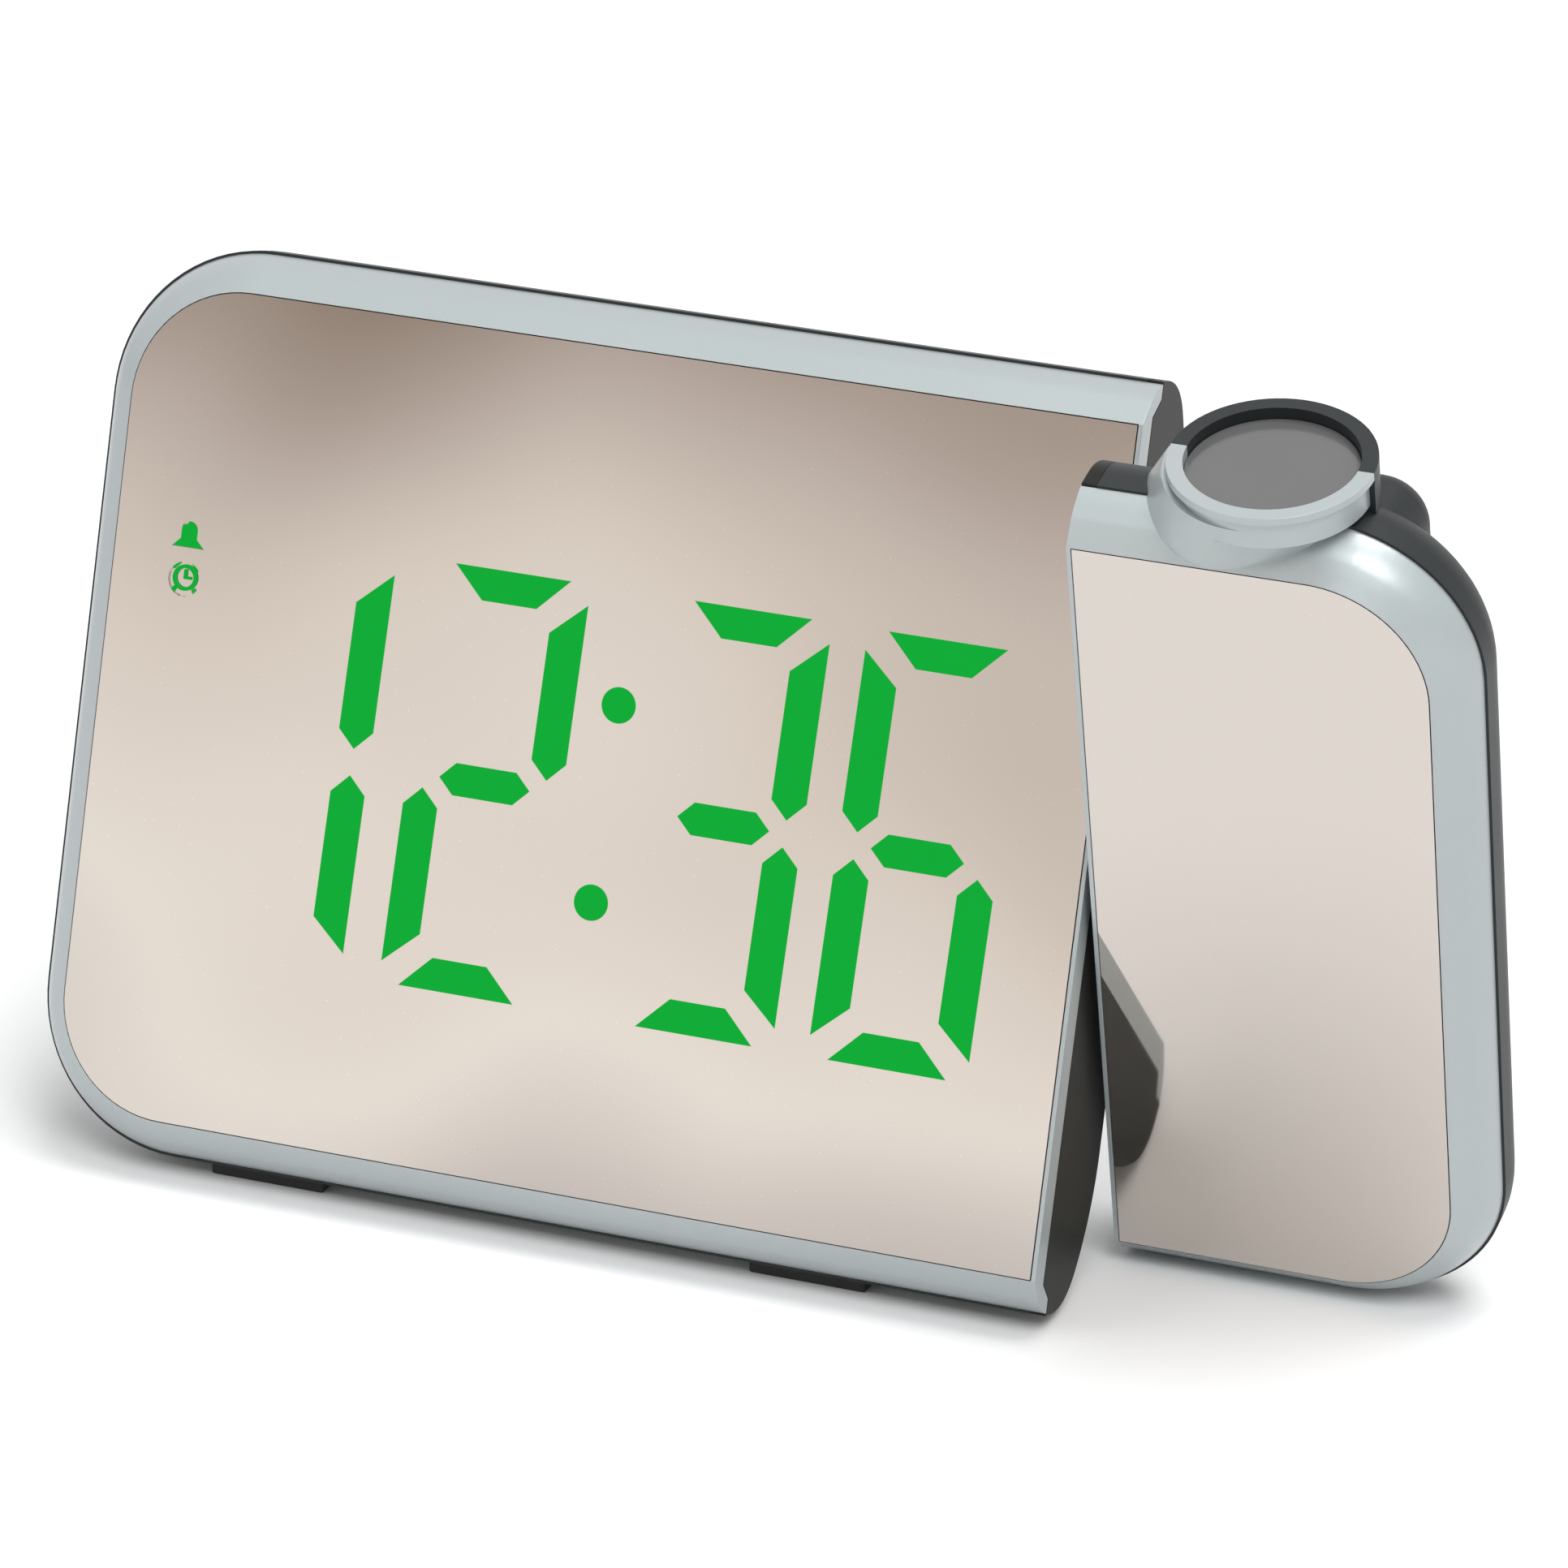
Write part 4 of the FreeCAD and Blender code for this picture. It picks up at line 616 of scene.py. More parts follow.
def skin(mesh: BMesh, rings: Sequence[Sequence[Corner]], closed: bool) -> None:
    """Add faces along a row of rings of corners.

    Args:
        mesh: What the faces go into.
        rings: The rings, each with as many corners.
        closed: Whether the last ring meets the first; if not, both get a cap.
    """
    made = [[mesh.verts.new(corner) for corner in ring] for ring in rings]
    followers = made[1:] + made[:1] if closed else made[1:]
    for ring, following in zip(made, followers):
        for index, vert in enumerate(ring):
            after = (index + 1) % len(ring)
            mesh.faces.new((vert, ring[after], following[after], following[index]))
    if not closed:
        mesh.faces.new(made[0])
        mesh.faces.new(list(reversed(made[-1])))


@dataclass
class SolidMaker:
    """Gathers small solids drawn in a unit's space and makes one piece of them."""

    space: UnitSpace
    mesh: BMesh = field(default_factory=bmesh.new)

    def prisms(
        self, centre: Point, outlines: Sequence[Outline], depth: Point, reach: float = 1.0
    ) -> None:
        """Add prisms square to the unit's face, drawn about a centre.

        Args:
            centre: The centre as (x, z).
            outlines: Each prism's corners, measured from the centre.
            depth: Where they start and end along Y.
            reach: How many millimetres one unit of the outlines is.
        """
        for outline in outlines:
            corners = [(centre[0] + reach * x, centre[1] + reach * z) for x, z in outline]
            skin(self.mesh, [[(x, y, z) for x, z in corners] for y in depth], closed=False)

    def ring(self, centre: Point, radii: Point, depth: Point, sides: int) -> None:
        """Add a flat ring.

        Args:
            centre: Its centre as (x, z).
            radii: Its hole's radius and its own.
            depth: Where it starts and ends along Y.
            sides: How many sides it has.
        """
        inner, outer = radii
        front, back = depth
        section = ((inner, front), (outer, front), (outer, back), (inner, back))
        rings = [[(x, y, z) for x, z in disc(centre, radius, sides)] for radius, y in section]
        skin(self.mesh, rings, closed=True)

    def piece(self, name: str, finish: Finish) -> Object:
        """Make the piece; see UnitSpace.piece."""
        return self.space.piece(name, to_mesh(self.mesh, name), finish)


def to_mesh(solid: BMesh, name: str) -> bpy.types.Mesh:
    """Turn a solid into a mesh with its normals outward, and free it."""
    bmesh.ops.recalc_face_normals(solid, faces=solid.faces)
    data = bpy.data.meshes.new(name)
    solid.to_mesh(data)
    solid.free()
    return data


class RepeatTree(SharedGroup):
    """Geometry Nodes that repeat one solid on the points of a mesh."""

    NAME = "clock_repeat"
    KIND = "GeometryNodeTree"
    INPUTS = {
        "Points": ("NodeSocketGeometry", None),
        "Solid": ("NodeSocketObject", None),
        "Size": (NUMBER, 1.0),
        "Finish": ("NodeSocketMaterial", None),
    }
    OUTPUTS = {"Solids": ("NodeSocketGeometry", None)}
    TURN = "turn"

    @classmethod
    def build(cls, tree: Tree, given: Outputs) -> Values:
        """Add the tree's nodes; see SharedGroup.build."""
        solid = tree.add("GeometryNodeObjectInfo", transform_space="ORIGINAL")
        tree.fill(solid, {"Object": given["Solid"]})
        angle = tree.add("GeometryNodeInputNamedAttribute", data_type="FLOAT_VECTOR")
        tree.fill(angle, {"Name": cls.TURN})
        copies = tree.add("GeometryNodeInstanceOnPoints")
        tree.fill(
            copies,
            {
                "Points": given["Points"],
                "Instance": solid.outputs["Geometry"],
                "Rotation": angle.outputs["Attribute"],
                "Scale": given["Size"],
            },
        )
        real = tree.add("GeometryNodeRealizeInstances")
        tree.fill(real, {"Geometry": copies.outputs["Instances"]})
        coat = tree.add("GeometryNodeSetMaterial")
        tree.fill(coat, {"Geometry": real.outputs["Geometry"], "Material": given["Finish"]})
        return {"Solids": coat.outputs["Geometry"]}


def lathe(section: Outline, sides: int) -> BMesh:
    """Turn a section about Y.

    Args:
        section: Corners as (radius, y); the first and last lie on the axis.
        sides: How many sides the solid has.

    Returns:
        The closed solid.
    """
    mesh = bmesh.new()
    rows = []
    for radius, y in section:
        corners = disc(ORIGIN, radius, sides if radius > 0 else 1)
        rows.append([mesh.verts.new((x, y, z)) for x, z in corners])
    for row, following in zip(rows, rows[1:]):
        for index in range(sides):
            after = (index + 1) % sides
            ring = [row[index % len(row)], row[after % len(row)]]
            ring += [following[after % len(following)], following[index % len(following)]]
            mesh.faces.new(dict.fromkeys(ring))
    return mesh


# Sub-assemblies

# How near corners are joined, how much each kind of edge is rounded, and how far a print
# stands on each side of its face, in millimetres.
WELD_DISTANCE = 0.002
FRAME_EDGE = 0.16
SHELL_EDGE = 0.25
SMALL_EDGE = 0.2
FOOT_EDGE = 0.3
BUTTON_EDGE = 0.28
PRINT_DEPTH = 0.03

# The least turn of a real crease and of a rounded edge, in degrees, and how far large
# faces lead the shading, in percent.
FLAT_ANGLE = 0.3
EDGE_ANGLE = 32.0
FACE_WEIGHT = 80


@dataclass
class SubAssembly:
    """What every sub-assembly shares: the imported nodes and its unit's space."""

    nodes: dict[str, Object]
    space: UnitSpace

    def coat(self, finish: Finish, *names: str) -> None:
        """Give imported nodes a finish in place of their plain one.

        Args:
            finish: The finish.
            *names: The nodes.
        """
        for name in names:
            data = self.nodes[name].data
            data.materials.clear()
            data.materials.append(finish.material())
            for face in data.polygons:
                face.material_index = 0
            LOG.info("coated %s", name)

    def soften(self, name: str, finish: Finish, width: float, segments: int = 2) -> None:
        """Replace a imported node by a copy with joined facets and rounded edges.

        Args:
            name: The node.
            finish: The finish.
            width: The edge rounding in millimetres.
            segments: How many faces each rounding has.
        """
        mesh = bmesh.new()
        mesh.from_mesh(self.nodes[name].data)
        bmesh.ops.remove_doubles(mesh, verts=mesh.verts, dist=WELD_DISTANCE * MM)
        bmesh.ops.dissolve_limit(
            mesh, angle_limit=math.radians(FLAT_ANGLE), verts=mesh.verts, edges=mesh.edges
        )
        for face in mesh.faces:
            face.smooth = True
        data = bpy.data.meshes.new(name + "_rounded")
        mesh.to_mesh(data)
        mesh.free()
        data.materials.clear()
        data.materials.append(finish.material())
        made = new_object(name + "_rounded", data)
        rounding = made.modifiers.new("edges", "BEVEL")
        rounding.width = width * MM
        rounding.segments = segments
        rounding.limit_method = "ANGLE"
        rounding.angle_limit = math.radians(EDGE_ANGLE)
        rounding.harden_normals = True
        rounding.use_clamp_overlap = True
        even = made.modifiers.new("even_shading", "WEIGHTED_NORMAL")
        even.mode = "FACE_AREA"
        even.weight = FACE_WEIGHT
        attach(made, self.space.body)
        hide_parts(name)
        LOG.info("rounded the edges of %s", name)

    def repeat(
        self,
        name: str,
        solid: BMesh,
        places: Sequence[Corner],
        finish: Finish,
        turns: Sequence[float] = (),
    ) -> Object:
        """Make one piece of copies of a solid that is drawn about its own centre.

        Args:
            name: The piece's name.
            solid: The solid; it is freed.
            places: Each copy's centre in the unit's space.
            finish: The finish.
            turns: Each copy's turn about Y, in radians; none if left out.

        Returns:
            The new object, at the origin.
        """
        pattern = new_object(name + "_pattern", to_mesh(solid, name + "_pattern"))
        points = bpy.data.meshes.new(name + "_points")
        points.from_pydata(list(places), [], [])
        turn = points.attributes.new(RepeatTree.TURN, "FLOAT_VECTOR", "POINT")
        for index, angle in enumerate(turns):
            turn.data[index].vector = (0.0, angle, 0.0)
        carrier = new_object(name + "_carrier", points)
        modifier = carrier.modifiers.new("repeat", "NODES")
        modifier.node_group = RepeatTree.get()
        named = {item.name: item.identifier for item in modifier.node_group.interface.items_tree}
        modifier[named["Solid"]] = pattern
        modifier[named["Size"]] = 1.0
        modifier[named["Finish"]] = finish.material()
        bpy.context.view_layer.update()
        graph = bpy.context.evaluated_depsgraph_get()
        data = bpy.data.meshes.new_from_object(carrier.evaluated_get(graph))
        data.name = name
        for item in (pattern, carrier):
            bpy.data.objects.remove(item, do_unlink=True)
        return self.space.piece(name, data, finish)


@dataclass
class DisplayUnit(SubAssembly):
    """The wide display: silver frame, mirror, lit time, black shell and electronics."""

    def build(self) -> None:
        """Dress every node of the display."""
        self.soften("display_front_frame", SILVER, FRAME_EDGE)
        self.soften("display_rear_shell", BLACK_SHELL, SHELL_EDGE)
        self.soften("display_end_wall", GLOSSY_END, SMALL_EDGE)
        self.coat(MIRROR, "display_mirror")
        self.coat(LIT_GREEN, "lit_digits")
        self.coat(WHITE_BLOCK, "light_box")
        self.coat(LAMP, "led_set")
        self.coat(BOARD, "main_board")
        self.coat(CHIP, "board_chips", "tact_switches", "buzzer", "cell_holder")
        self.coat(PLATED, "coin_cell", "power_inlet", "charging_outlet", "spring_washer")
        self.coat(ACETAL, "hinge_bush", "friction_washer")
        self.soften("display_feet", RUBBER, FOOT_EDGE)


@dataclass
class AlarmSign(SubAssembly):
    """The small lit alarm sign: a bell over a little twin-bell clock.

    The outlines are measured from the bell's foot and from the clock's centre, to the
    right of their upright axes, in millimetres.
    """

    BELL = (
        *((1.9, 0.0), (1.9, 0.3), (1.45, 0.75), (1.3, 1.5)),
        *((1.05, 2.15), (0.6, 2.55), (0.28, 2.68), (0.22, 2.9)),
    )
    HANDS = (
        *((-0.16, 0.95), (-0.16, -0.16), (0.75, -0.16)),
        *((0.75, 0.16), (0.16, 0.16), (0.16, 0.95)),
    )
    FOOT = ((0.95, -1.3), (1.25, -1.05), (1.75, -1.75), (1.35, -1.95))
    EAR = ((0.75, 1.6), (1.15, 1.98), (1.7, 1.75), (1.8, 1.2), (1.5, 0.85))

    bell_foot: Point = (13.7, 70.25)
    clock_centre: Point = (13.7, 66.75)
    clock_radii: Point = (1.08, 1.5)
    depth: Point = (0.02, 0.3)
    sides: int = 28

    def build(self) -> None:
        """Make the sign in place of the plain inlay."""
        drawing = SolidMaker(self.space)
        drawing.prisms(self.bell_foot, [[*self.BELL, *flipped(self.BELL)]], self.depth)
        drawing.ring(self.clock_centre, self.clock_radii, self.depth, self.sides)
        one_side = (self.FOOT, self.EAR)
        shapes = [self.HANDS, *map(flipped, one_side), *one_side]
        drawing.prisms(self.clock_centre, shapes, self.depth)
        made = drawing.piece("alarm_sign_lit", LIT_GREEN)
        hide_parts("alarm_sign")


BELL_HALF = ((1.0, -0.7), (0.95, -0.45), (0.62, -0.1), (0.55, 0.5), (0.25, 0.95))
MOON = arc(ORIGIN, 1.0, (60, 300), 21) + arc((0.5, 0.02), 0.87, (255.5, 103.5), 17)
LAMP_FOOT = ((-0.35, -1.0), (0.35, -1.0), (0.35, -0.45), (-0.35, -0.45))
BEAM = ((-0.3, -0.25), (0.3, -0.25), (1.0, 1.0), (-1.0, 1.0))

# The plain sign printed on each push button: its filled shapes as seen from behind the
# clock, at a reach of one. The set button's has a ring as well.
BUTTON_SIGNS = {
    "set_button": [disc(ORIGIN, 0.3, 12)],
    "alarm_button": [[*BELL_HALF, *flipped(BELL_HALF)], disc((0.0, -0.95), 0.2, 10)],
    "down_button": [[(-1.0, 0.7), (0.0, -1.0), (1.0, 0.7)]],
    "up_button": [[(-1.0, -0.7), (1.0, -0.7), (0.0, 1.0)]],
    "snooze_button": [MOON],
    "projector_button": [LAMP_FOOT, BEAM],
}
RINGED_BUTTON = "set_button"


@dataclass
class PushButton(SubAssembly):
    """A push button with rounded edges and a plain printed sign; its body has its name."""

    centre: Point
    face: float = 19.0
    reach: float = 1.2
    ring_share: float = 0.62
    ring_sides: int = 24

    def build(self) -> None:
        """Make the rounded button and its print."""
        name = self.space.body
        self.soften(name, BUTTON, BUTTON_EDGE, segments=3)
        drawing = SolidMaker(self.space)
        depth = (self.face - PRINT_DEPTH, self.face + PRINT_DEPTH)
        drawing.prisms(self.centre, BUTTON_SIGNS[name], depth, self.reach)
        if name == RINGED_BUTTON:
            radii = (self.ring_share * self.reach, self.reach)
            drawing.ring(self.centre, radii, depth, self.ring_sides)
        drawing.piece(name + "_sign", PRINT)


@dataclass
class Screws(SubAssembly):
    """The case screws, each with a cross recess, repeated at their posts."""

    node: str
    places: tuple[Point, ...]
    head_front: float = 13.2
    head_height: float = 1.5
    head_radius: float = 2.28
    shank_radius: float = 1.15
    shank_length: float = 8.0
    tip_share: float = 0.6
    tip_length: float = 0.6
    crown: tuple[Point, ...] = ((1.0, 0.6), (0.93, 0.25), (0.8, 0.0))
    recess_reach: float = 0.56
    recess_half: float = 0.17
    recess_depth: float = 0.7
    sides: int = 24
    first_turn: float = 0.35
    next_turn: float = 1.1

    def section(self) -> list[Point]:
        """Return the screw's section, open at the head's face.

        Returns:
            Its corners as (radius, y), from the tip.
        """
        end, shank = -self.shank_length, self.shank_radius
        corners = [(0.0, end), (shank * self.tip_share, end), (shank, end + self.tip_length)]
        corners += [(shank, 0.0), (self.head_radius, 0.0)]
        head = [(self.head_radius * share, self.head_height - drop) for share, drop in self.crown]
        return corners + head

    def solid(self) -> BMesh:
        """Return one screw about the centre of its head's underside.

        Returns:
            The closed solid.
        """
        top, rim = self.head_height, self.head_radius
        arm, half = self.recess_reach * rim, self.recess_half * rim
        cross = [(half, arm), (half, half), (arm, half), (arm, -half), (half, -half), (half, -arm)]
        cross += flipped(cross)
        mesh = lathe(self.section(), self.sides)
        edge = [vert for vert in mesh.verts if abs(vert.co.y - top) < TOLERANCE]
        mouth = [mesh.verts.new((x, top, z)) for x, z in cross]
        for loop in (edge, mouth):
            loop.sort(key=lambda vert: math.atan2(vert.co.z, vert.co.x))
        floor = top - self.recess_depth
        bed = [mesh.verts.new((vert.co.x, floor, vert.co.z)) for vert in mouth]
        bounds = [
            mesh.edges.get(ends) or mesh.edges.new(ends)
            for loop in (mouth, edge)
            for ends in zip(loop, loop[1:] + loop[:1])
        ]
        bmesh.ops.bridge_loops(mesh, edges=bounds)
        for index, vert in enumerate(mouth):
            after = (index + 1) % len(mouth)
            mesh.faces.new((vert, mouth[after], bed[after], bed[index]))
        mesh.faces.new(bed)
        bmesh.ops.triangulate(mesh, faces=mesh.faces)
        return mesh

    def build(self) -> None:
        """Repeat the screw at every post."""
        spots = [(x, self.head_front, z) for x, z in self.places]
        turns = [self.first_turn + self.next_turn * index for index in range(len(spots))]
        made = self.repeat(self.node + "_crossed", self.solid(), spots, DARK_STEEL, turns)
        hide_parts(self.node)


@dataclass
class SocketContacts(SubAssembly):
    """Gold contacts on a socket's tongue, repeated along it."""

    name: str
    centre: Point
    count: int
    pitch: float
    width: float
    faces: tuple[float, ...]
    height: float = 0.06
    front: float = 13.0
    back: float = 16.8
    tip_share: float = 0.8

    def build(self) -> None:
        """Repeat the contact along each face of the tongue."""
        half, rise, run = self.width / 2, self.height / 2, (self.back - self.front) / 2
        mesh = bmesh.new()
        rings = []
        for y, share in ((-run, 1.0), (run, self.tip_share)):
            wide = half * share
            rings.append([(-wide, y, -rise), (wide, y, -rise), (wide, y, rise), (-wide, y, rise)])
        skin(mesh, rings, closed=False)
        x, z = self.centre
        first = x - self.pitch * (self.count - 1) / 2
        middle = (self.front + self.back) / 2
        spots = [
            (first + self.pitch * index, middle, z + face)
            for face in self.faces
            for index in range(self.count)
        ]
        self.repeat(self.name, mesh, spots, GOLD)


@dataclass
class CellCover(SubAssembly):
    """The backup cell's twist-in cover with its coin slot and turning marks."""

    centre: Point = (42.0, 46.0)
    face: float = 18.2
    mark_reach: float = 9.6
    dot_radius: float = 0.55
    dot_sides: int = 14
    track_half: float = 0.3
    span: Point = (60.0, 18.0)
    steps: int = 8
    head_half: float = 0.9
    head_turn: float = 0.16

    def build(self) -> None:
        """Round the cover and print its dot and its arrow."""
        self.soften("cell_cover", BUTTON, SMALL_EDGE)
        drawing = SolidMaker(self.space)
        depth = (self.face - PRINT_DEPTH, self.face + PRINT_DEPTH)
        dot = disc((0.0, self.mark_reach), self.dot_radius, self.dot_sides)
        near, far = (
            arc(ORIGIN, self.mark_reach + side * self.track_half, self.span, self.steps)
            for side in (-1, 1)
        )
        tip = math.radians(self.span[1])
        head = [
            polar(ORIGIN, self.mark_reach + side * self.head_half, tip - turn)
            for side, turn in ((-1, 0.0), (0, self.head_turn), (1, 0.0))
        ]
        drawing.prisms(self.centre, [dot, far + near[::-1], head], depth)
        drawing.piece("cell_cover_marks", PRINT)


@dataclass
class ProjectorArm(SubAssembly):
    """The narrow arm: silver saddle frame, mirror, black shell and the optics."""

    def build(self) -> None:
        """Dress every node of the arm."""
        self.soften("arm_front_frame", SILVER, FRAME_EDGE)
        self.soften("arm_rear_shell", BLACK_SHELL, SHELL_EDGE)
        self.soften("arm_end_wall", GLOSSY_END, SMALL_EDGE)
        self.coat(MIRROR, "arm_mirror")
        self.coat(PLATED, "hinge_shaft", "shaft_clip")
        self.coat(TUBE, "projector_tube", "slide_mount")
        self.coat(WINDOW, "projector_window")
        self.coat(CLEAR, "projection_lens", "condenser_lens")
        self.coat(SLIDE, "time_slide")
        self.coat(LAMP, "projector_lamp")
        self.coat(BOARD, "projector_board", "arm_switch_board")
        self.coat(CHIP, "arm_tact_switch")
        self.soften("arm_foot", RUBBER, FOOT_EDGE)


@dataclass
class FocusKnob(SubAssembly):
    """The ribbed focus knob on the projector's hump.

    Its foot and crown are given as (inset from the rim, distance from the end), and a
    rib's start and end as (distance from the end, size).
    """

    RIB = ((-0.26, -0.2), (0.26, -0.2), (0.16, 0.42), (-0.16, 0.42))
    MARK = ((-0.2, 2.0), (0.2, 2.0), (0.2, 3.6), (-0.2, 3.6))

    centre: Point = (145.7, 88.0)
    front: float = 20.95
    back: float = 24.15
    radius: float = 5.5
    stem_radius: float = 2.4
    stem_front: float = 16.3
    foot: tuple[Point, ...] = ((0.3, 0.0), (0.0, 0.3))
    crown: tuple[Point, ...] = ((0.0, 0.5), (0.15, 0.15), (0.5, 0.0), (1.3, 0.0), (1.6, 0.3))
    sides: int = 72
    ribs: int = 36
    rib_start: tuple[Point, ...] = ((0.25, 0.8), (0.5, 1.0))
    rib_end: tuple[Point, ...] = ((0.75, 1.0), (0.4, 0.7))
    mark_depth: Point = (0.33, 0.26)

    def section(self) -> list[Point]:
        """Return the knob's section.

        Returns:
            Its corners as (radius, y), measured from the knob's front.
        """
        depth, stem = self.back - self.front, self.stem_front - self.front
        corners = [(0.0, stem), (self.stem_radius, stem), (self.stem_radius, 0.0)]
        corners += [(self.radius - inset, rise) for inset, rise in self.foot]
        corners += [(self.radius - inset, depth - drop) for inset, drop in self.crown]
        return corners + [(0.0, depth - self.crown[-1][1])]

    def build(self) -> None:
        """Turn the knob's body, repeat its ribs round it and print its mark."""
        x, z = self.centre
        knob = lathe(self.section(), self.sides)
        made = self.repeat("focus_knob_body", knob, [(x, self.front, z)], BUTTON)
        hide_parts("focus_knob")
        turns = [2 * math.pi * index / self.ribs for index in range(self.ribs)]
        places = [
            (x + self.radius * math.sin(turn), self.front, z + self.radius * math.cos(turn))
            for turn in turns
        ]
        depth = self.back - self.front
        stages = [*self.rib_start, *((depth - drop, grown) for drop, grown in self.rib_end)]
        rings = [[(x * grown, y, z * grown) for x, z in self.RIB] for y, grown in stages]
        rib = bmesh.new()
        skin(rib, rings, closed=False)
        self.repeat("focus_knob_ribs", rib, places, BUTTON, turns)
        drawing = SolidMaker(self.space)
        near, far = self.mark_depth
        drawing.prisms(self.centre, [self.MARK], (self.back - near, self.back - far))
        drawing.piece("focus_knob_mark", PRINT)


# The photograph


@dataclass(frozen=True)
class Camera:
    """The photograph's camera, fitted to the mirror's outline."""

    place: Corner = (0.326693, -0.858346, 0.417935)
    turn: tuple[float, float, float, float] = (0.81170785, 0.55409928, 0.09439965, 0.15872322)
    lens: float = 203.87
    sensor: float = 36.0
    nearest: float = 0.05
    farthest: float = 50.0

    def build(self) -> None:
        """Make the camera, make it the scene's and set the tones of its picture."""
        data = bpy.data.cameras.new("photograph")
        data.lens = self.lens
        data.sensor_fit = "HORIZONTAL"
        data.sensor_width = self.sensor
        data.clip_start = self.nearest
        data.clip_end = self.farthest
        made = new_object("photograph", data)
        made.rotation_mode = "QUATERNION"
        made.rotation_quaternion = Quaternion(self.turn)
        made.location = self.place
        bpy.context.scene.camera = made
        bpy.context.scene.view_settings.view_transform = "Standard"


@dataclass(frozen=True)
class Softbox:
    """One large lamp that faces the clock."""

    name: str
    place: Corner
    size: float
    power: float
    target: Corner = (0.0, 0.0, 0.055)

    def build(self) -> None:
        """Make the lamp."""
        data = bpy.data.lights.new(self.name, "AREA")
        data.shape = "DISK"
        data.size = self.size
        data.energy = self.power
        made = new_object(self.name, data)
        aim = Vector(self.target) - Vector(self.place)
        made.rotation_mode = "QUATERNION"
        made.rotation_quaternion = aim.to_track_quat("-Z", "Y")
        made.location = self.place


def stage_sheet(
    name: str, centre: Corner, across: Corner, up: Corner, material: bpy.types.Material
) -> Object:
    """Make a flat sheet for the studio.

    Args:
        name: Its name.
        centre: Its centre.
        across: From the centre to the middle of one side.
        up: From the centre to the middle of the next side.
        material: Its material.

    Returns:
        The sheet.
    """
    data = bpy.data.meshes.new(name)
    signs = ((-1, -1), (1, -1), (1, 1), (-1, 1))
    corners = [Vector(centre) + Vector(across) * a + Vector(up) * b for a, b in signs]
    data.from_pydata(corners, [], [(0, 1, 2, 3)])
    data.materials.append(material)
    made = new_object(name, data)
    return made


@dataclass(frozen=True)
class WarmCard:
    """A softly graded card behind the camera, which the mirrors show."""

    STOPS = (
        (0.16, (0.66, 0.65, 0.65)),
        (0.25, (1.0, 0.99, 0.97)),
        (0.34, (0.86, 0.82, 0.78)),
        (0.43, (0.60, 0.55, 0.52)),
        (0.52, (0.33, 0.27, 0.23)),
    )

    centre: Corner = (-0.85, -1.88, 0.82)
    across: Corner = (0.819, -0.369, 0.0)
    up: Corner = (0.0, 0.0, 0.75)
    strength: float = 1.4
    cloud_scale: float = 5.5
    cloud_detail: float = 1.0
    sway: float = 0.3

    def material(self) -> bpy.types.Material:
        """Return the card's glow, graded by height with soft clouds.

        Returns:
            The material.
        """
        made, tree, output = blank_material("warm_card")
        place = tree.add("ShaderNodeTexCoord").outputs["Object"]
        parts = tree.add("ShaderNodeSeparateXYZ")
        tree.fill(parts, {"Vector": place})
        cloud = tree.add("ShaderNodeTexNoise")
        softness = {"Scale": self.cloud_scale, "Detail": self.cloud_detail}
        tree.fill(cloud, {**softness, "Vector": place})
        swing = tree.math("SUBTRACT", cloud.outputs["Fac"], 0.5)
        height = tree.math("ADD", parts.outputs["Z"], tree.math("MULTIPLY", swing, self.sway))
        ramp = tree.add("ShaderNodeValToRGB")
        tree.link(height, ramp.inputs["Fac"])
        stops = ramp.color_ramp.elements
        stops[0].position, stops[1].position = self.STOPS[0][0], self.STOPS[-1][0]
        for position, _ in self.STOPS[1:-1]:
            stops.new(position)
        for stop, (_, colour) in zip(stops, self.STOPS):
            stop.color = (*colour, 1.0)
        glow = tree.add("ShaderNodeEmission")
        tree.fill(glow, {"Strength": self.strength, "Color": ramp.outputs["Color"]})
        tree.fill(output, {"Surface": glow.outputs["Emission"]})
        return made

    def build(self) -> None:
        """Make the card."""
        card = stage_sheet("warm_card", self.centre, self.across, self.up, self.material())
        card.visible_diffuse = False


@dataclass(frozen=True)
class Floor:
    """The plain pale floor."""

    across: Corner = (3.0, 0.0, 0.0)
    up: Corner = (0.0, 3.0, 0.0)
    colour: Colour = (0.93, 0.93, 0.93)
    roughness: float = 0.9
    specular: float = 0.1

    def build(self) -> None:
        """Make the floor with its matte paint."""
        made, tree, output = blank_material("pale_floor")
        shader = tree.add("ShaderNodeBsdfPrincipled")
        gloss = {"Roughness": self.roughness, "Specular IOR Level": self.specular}
        tree.fill(shader, {**gloss, "Base Color": (*self.colour, 1.0)})
        tree.fill(output, {"Surface": shader.outputs["BSDF"]})
        stage_sheet("floor", (0.0, 0.0, 0.0), self.across, self.up, made)


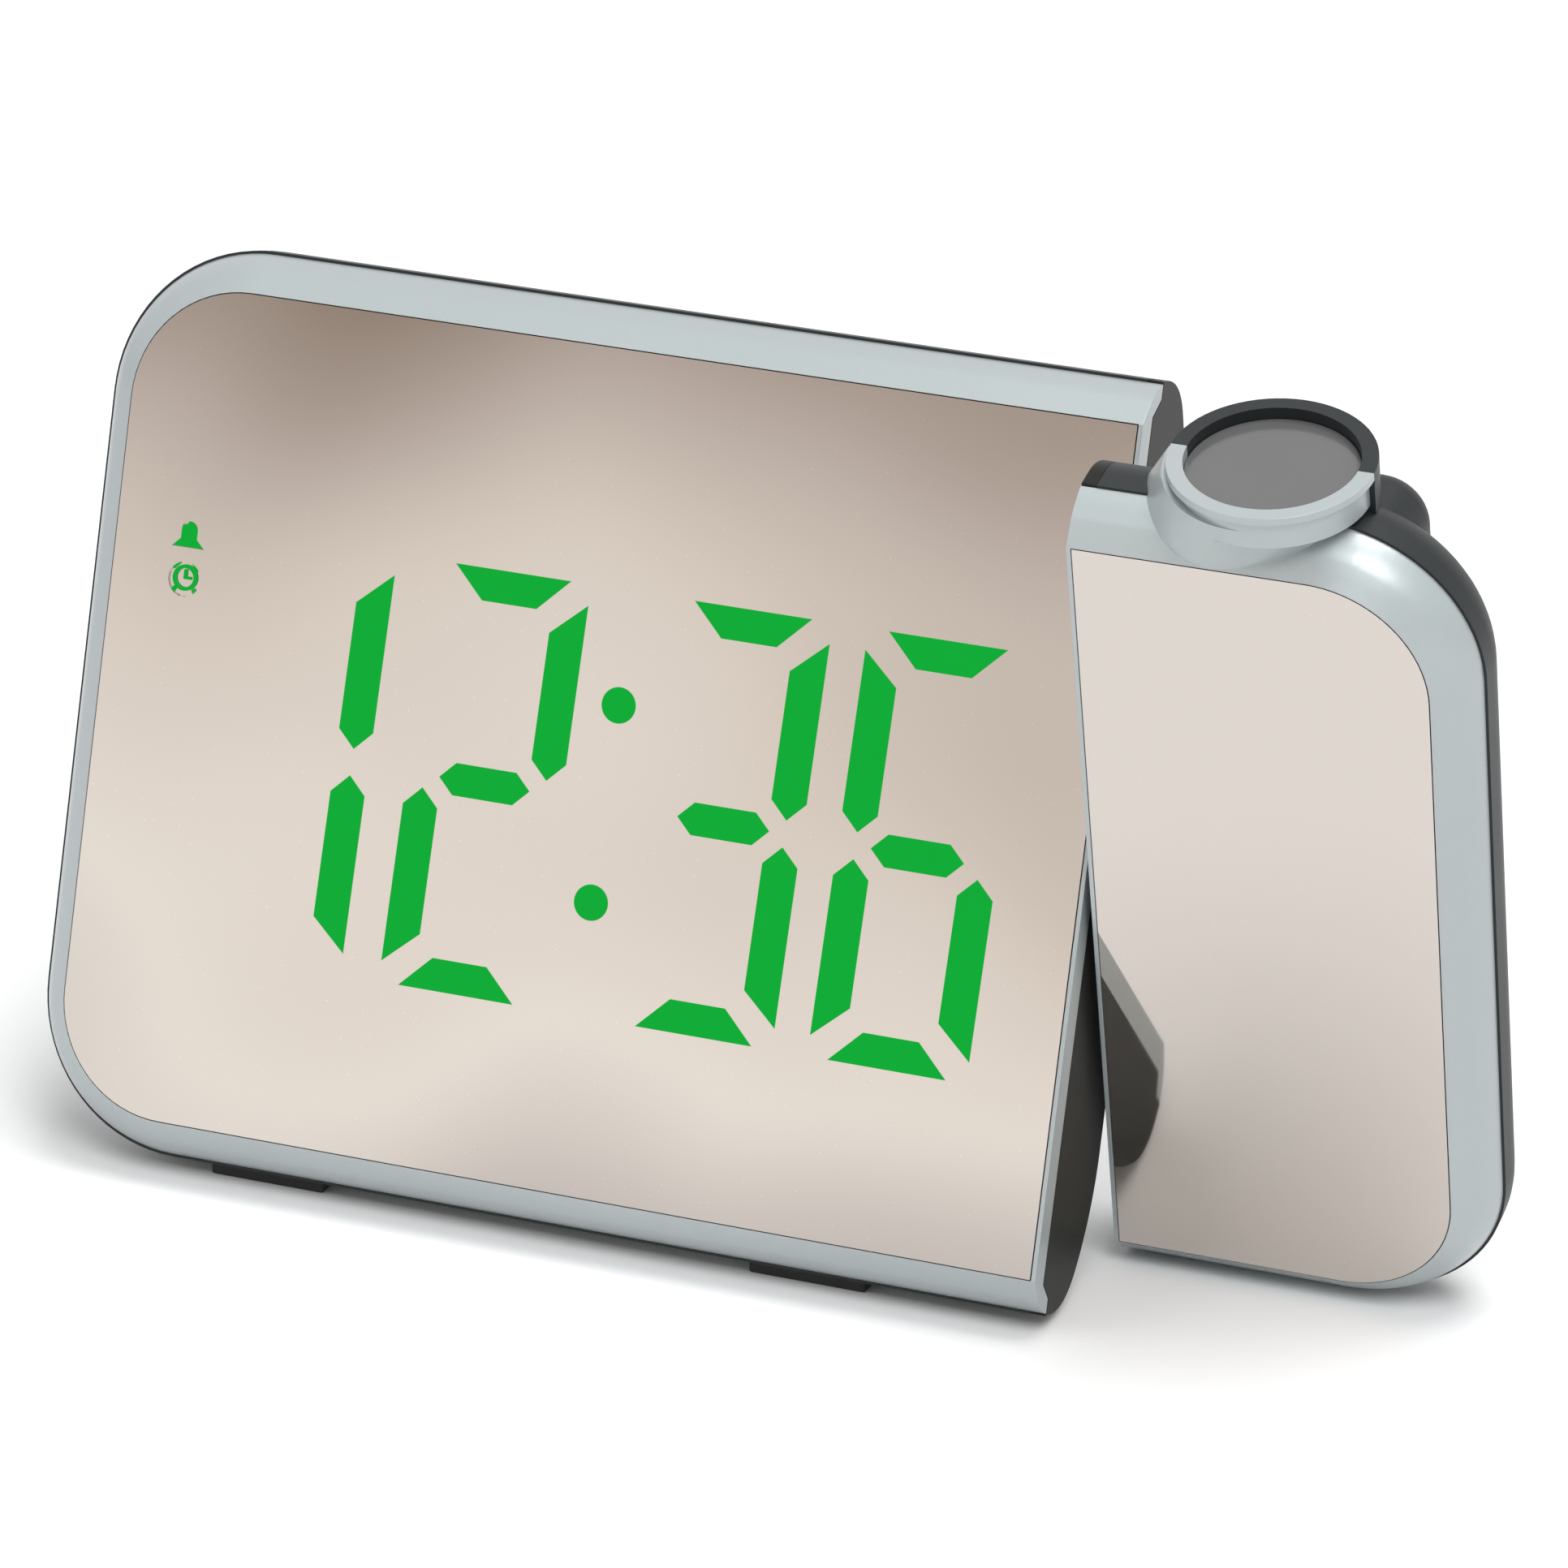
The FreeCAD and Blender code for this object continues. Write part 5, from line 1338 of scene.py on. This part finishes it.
@dataclass(frozen=True)
class PaleWorld:
    """Even light, and white to the camera, to gloss and through glass."""

    ambient: Colour = (0.98, 0.99, 1.0)
    strength: float = 0.50
    backdrop: Colour = (1.0, 1.0, 1.0)

    def build(self) -> None:
        """Make the world."""
        world = bpy.data.worlds.new("pale_world")
        bpy.context.scene.world = world
        world.use_nodes = True
        tree = Tree(world.node_tree)
        path = tree.add("ShaderNodeLightPath").outputs
        seen = tree.math("MAXIMUM", path["Is Camera Ray"], path["Is Glossy Ray"])
        seen = tree.math("MAXIMUM", seen, path["Is Transmission Ray"])
        shades = []
        for colour, strength in ((self.ambient, self.strength), (self.backdrop, 1.0)):
            shade = tree.add("ShaderNodeBackground")
            tree.fill(shade, {"Color": (*colour, 1.0), "Strength": strength})
            shades.append(shade.outputs["Background"])
        mix = tree.add("ShaderNodeMixShader")
        tree.fill(mix, {"Fac": seen, 1: shades[0], 2: shades[1]})
        output = tree.add("ShaderNodeOutputWorld")
        tree.fill(output, {"Surface": mix.outputs["Shader"]})


LAMPS = (
    Softbox("key", (0.75, -1.15, 1.5), 1.0, 17.0),
    Softbox("top", (0.35, 0.1, 1.7), 1.0, 17.0),
    Softbox("side", (-1.2, -1.3, 1.1), 1.2, 5.0),
)

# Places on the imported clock, as (x, z) in its unit's space, in millimetres
DISPLAY_SCREWS = ((20.0, 7.5), (104.2, 7.5), (20.0, 96.9), (104.2, 96.9))
ARM_SCREWS = ((149.8, 7.5), (162.3, 48.0))
BUTTON_ROW = (34.0, 78.0)
BUTTON_PITCH = 13.0
PROJECTOR_BUTTON = (145.7, 52.0)

# The contacts on each socket's tongue, in millimetres
INLET = dict(centre=(104.0, 28.0), count=12, pitch=0.5, width=0.26, faces=(0.35, -0.35))
OUTLET = dict(centre=(84.0, 29.9), count=4, pitch=2.4, width=1.1, faces=(-0.9,))


def buttons(nodes: dict[str, Object]) -> list[PushButton]:
    """Return the clock's push buttons.

    Args:
        nodes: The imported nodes.

    Returns:
        The five buttons of the display and the projector's one.
    """
    *row, last = BUTTON_SIGNS
    x, z = BUTTON_ROW
    made = [
        PushButton(nodes, UnitSpace(Lean.DISPLAY, name), (x + BUTTON_PITCH * index, z))
        for index, name in enumerate(row)
    ]
    return [*made, PushButton(nodes, UnitSpace(Lean.ARM, last), PROJECTOR_BUTTON)]


def main() -> None:
    """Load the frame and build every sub-assembly in order."""
    logging.basicConfig(level=logging.INFO, format="%(message)s")
    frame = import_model()
    nodes = frame["nodes"]
    display = UnitSpace(Lean.DISPLAY, "display_unit")
    arm = UnitSpace(Lean.ARM, "projector_arm")
    parts = [
        DisplayUnit(nodes, display),
        AlarmSign(nodes, display),
        Screws(nodes, display, "display_screws", DISPLAY_SCREWS),
        SocketContacts(nodes, display, "inlet_contacts", **INLET),
        SocketContacts(nodes, display, "outlet_contacts", **OUTLET),
        CellCover(nodes, UnitSpace(Lean.DISPLAY, "cell_cover")),
        *buttons(nodes),
        ProjectorArm(nodes, arm),
        Screws(nodes, arm, "arm_screws", ARM_SCREWS),
        FocusKnob(nodes, UnitSpace(Lean.ARM, "focus_knob")),
        Camera(),
        PaleWorld(),
        Floor(),
        WarmCard(),
        *LAMPS,
    ]
    for part in parts:
        part.build()
        LOG.info("built %s", type(part).__name__)


if __name__ == "__main__":
    main()
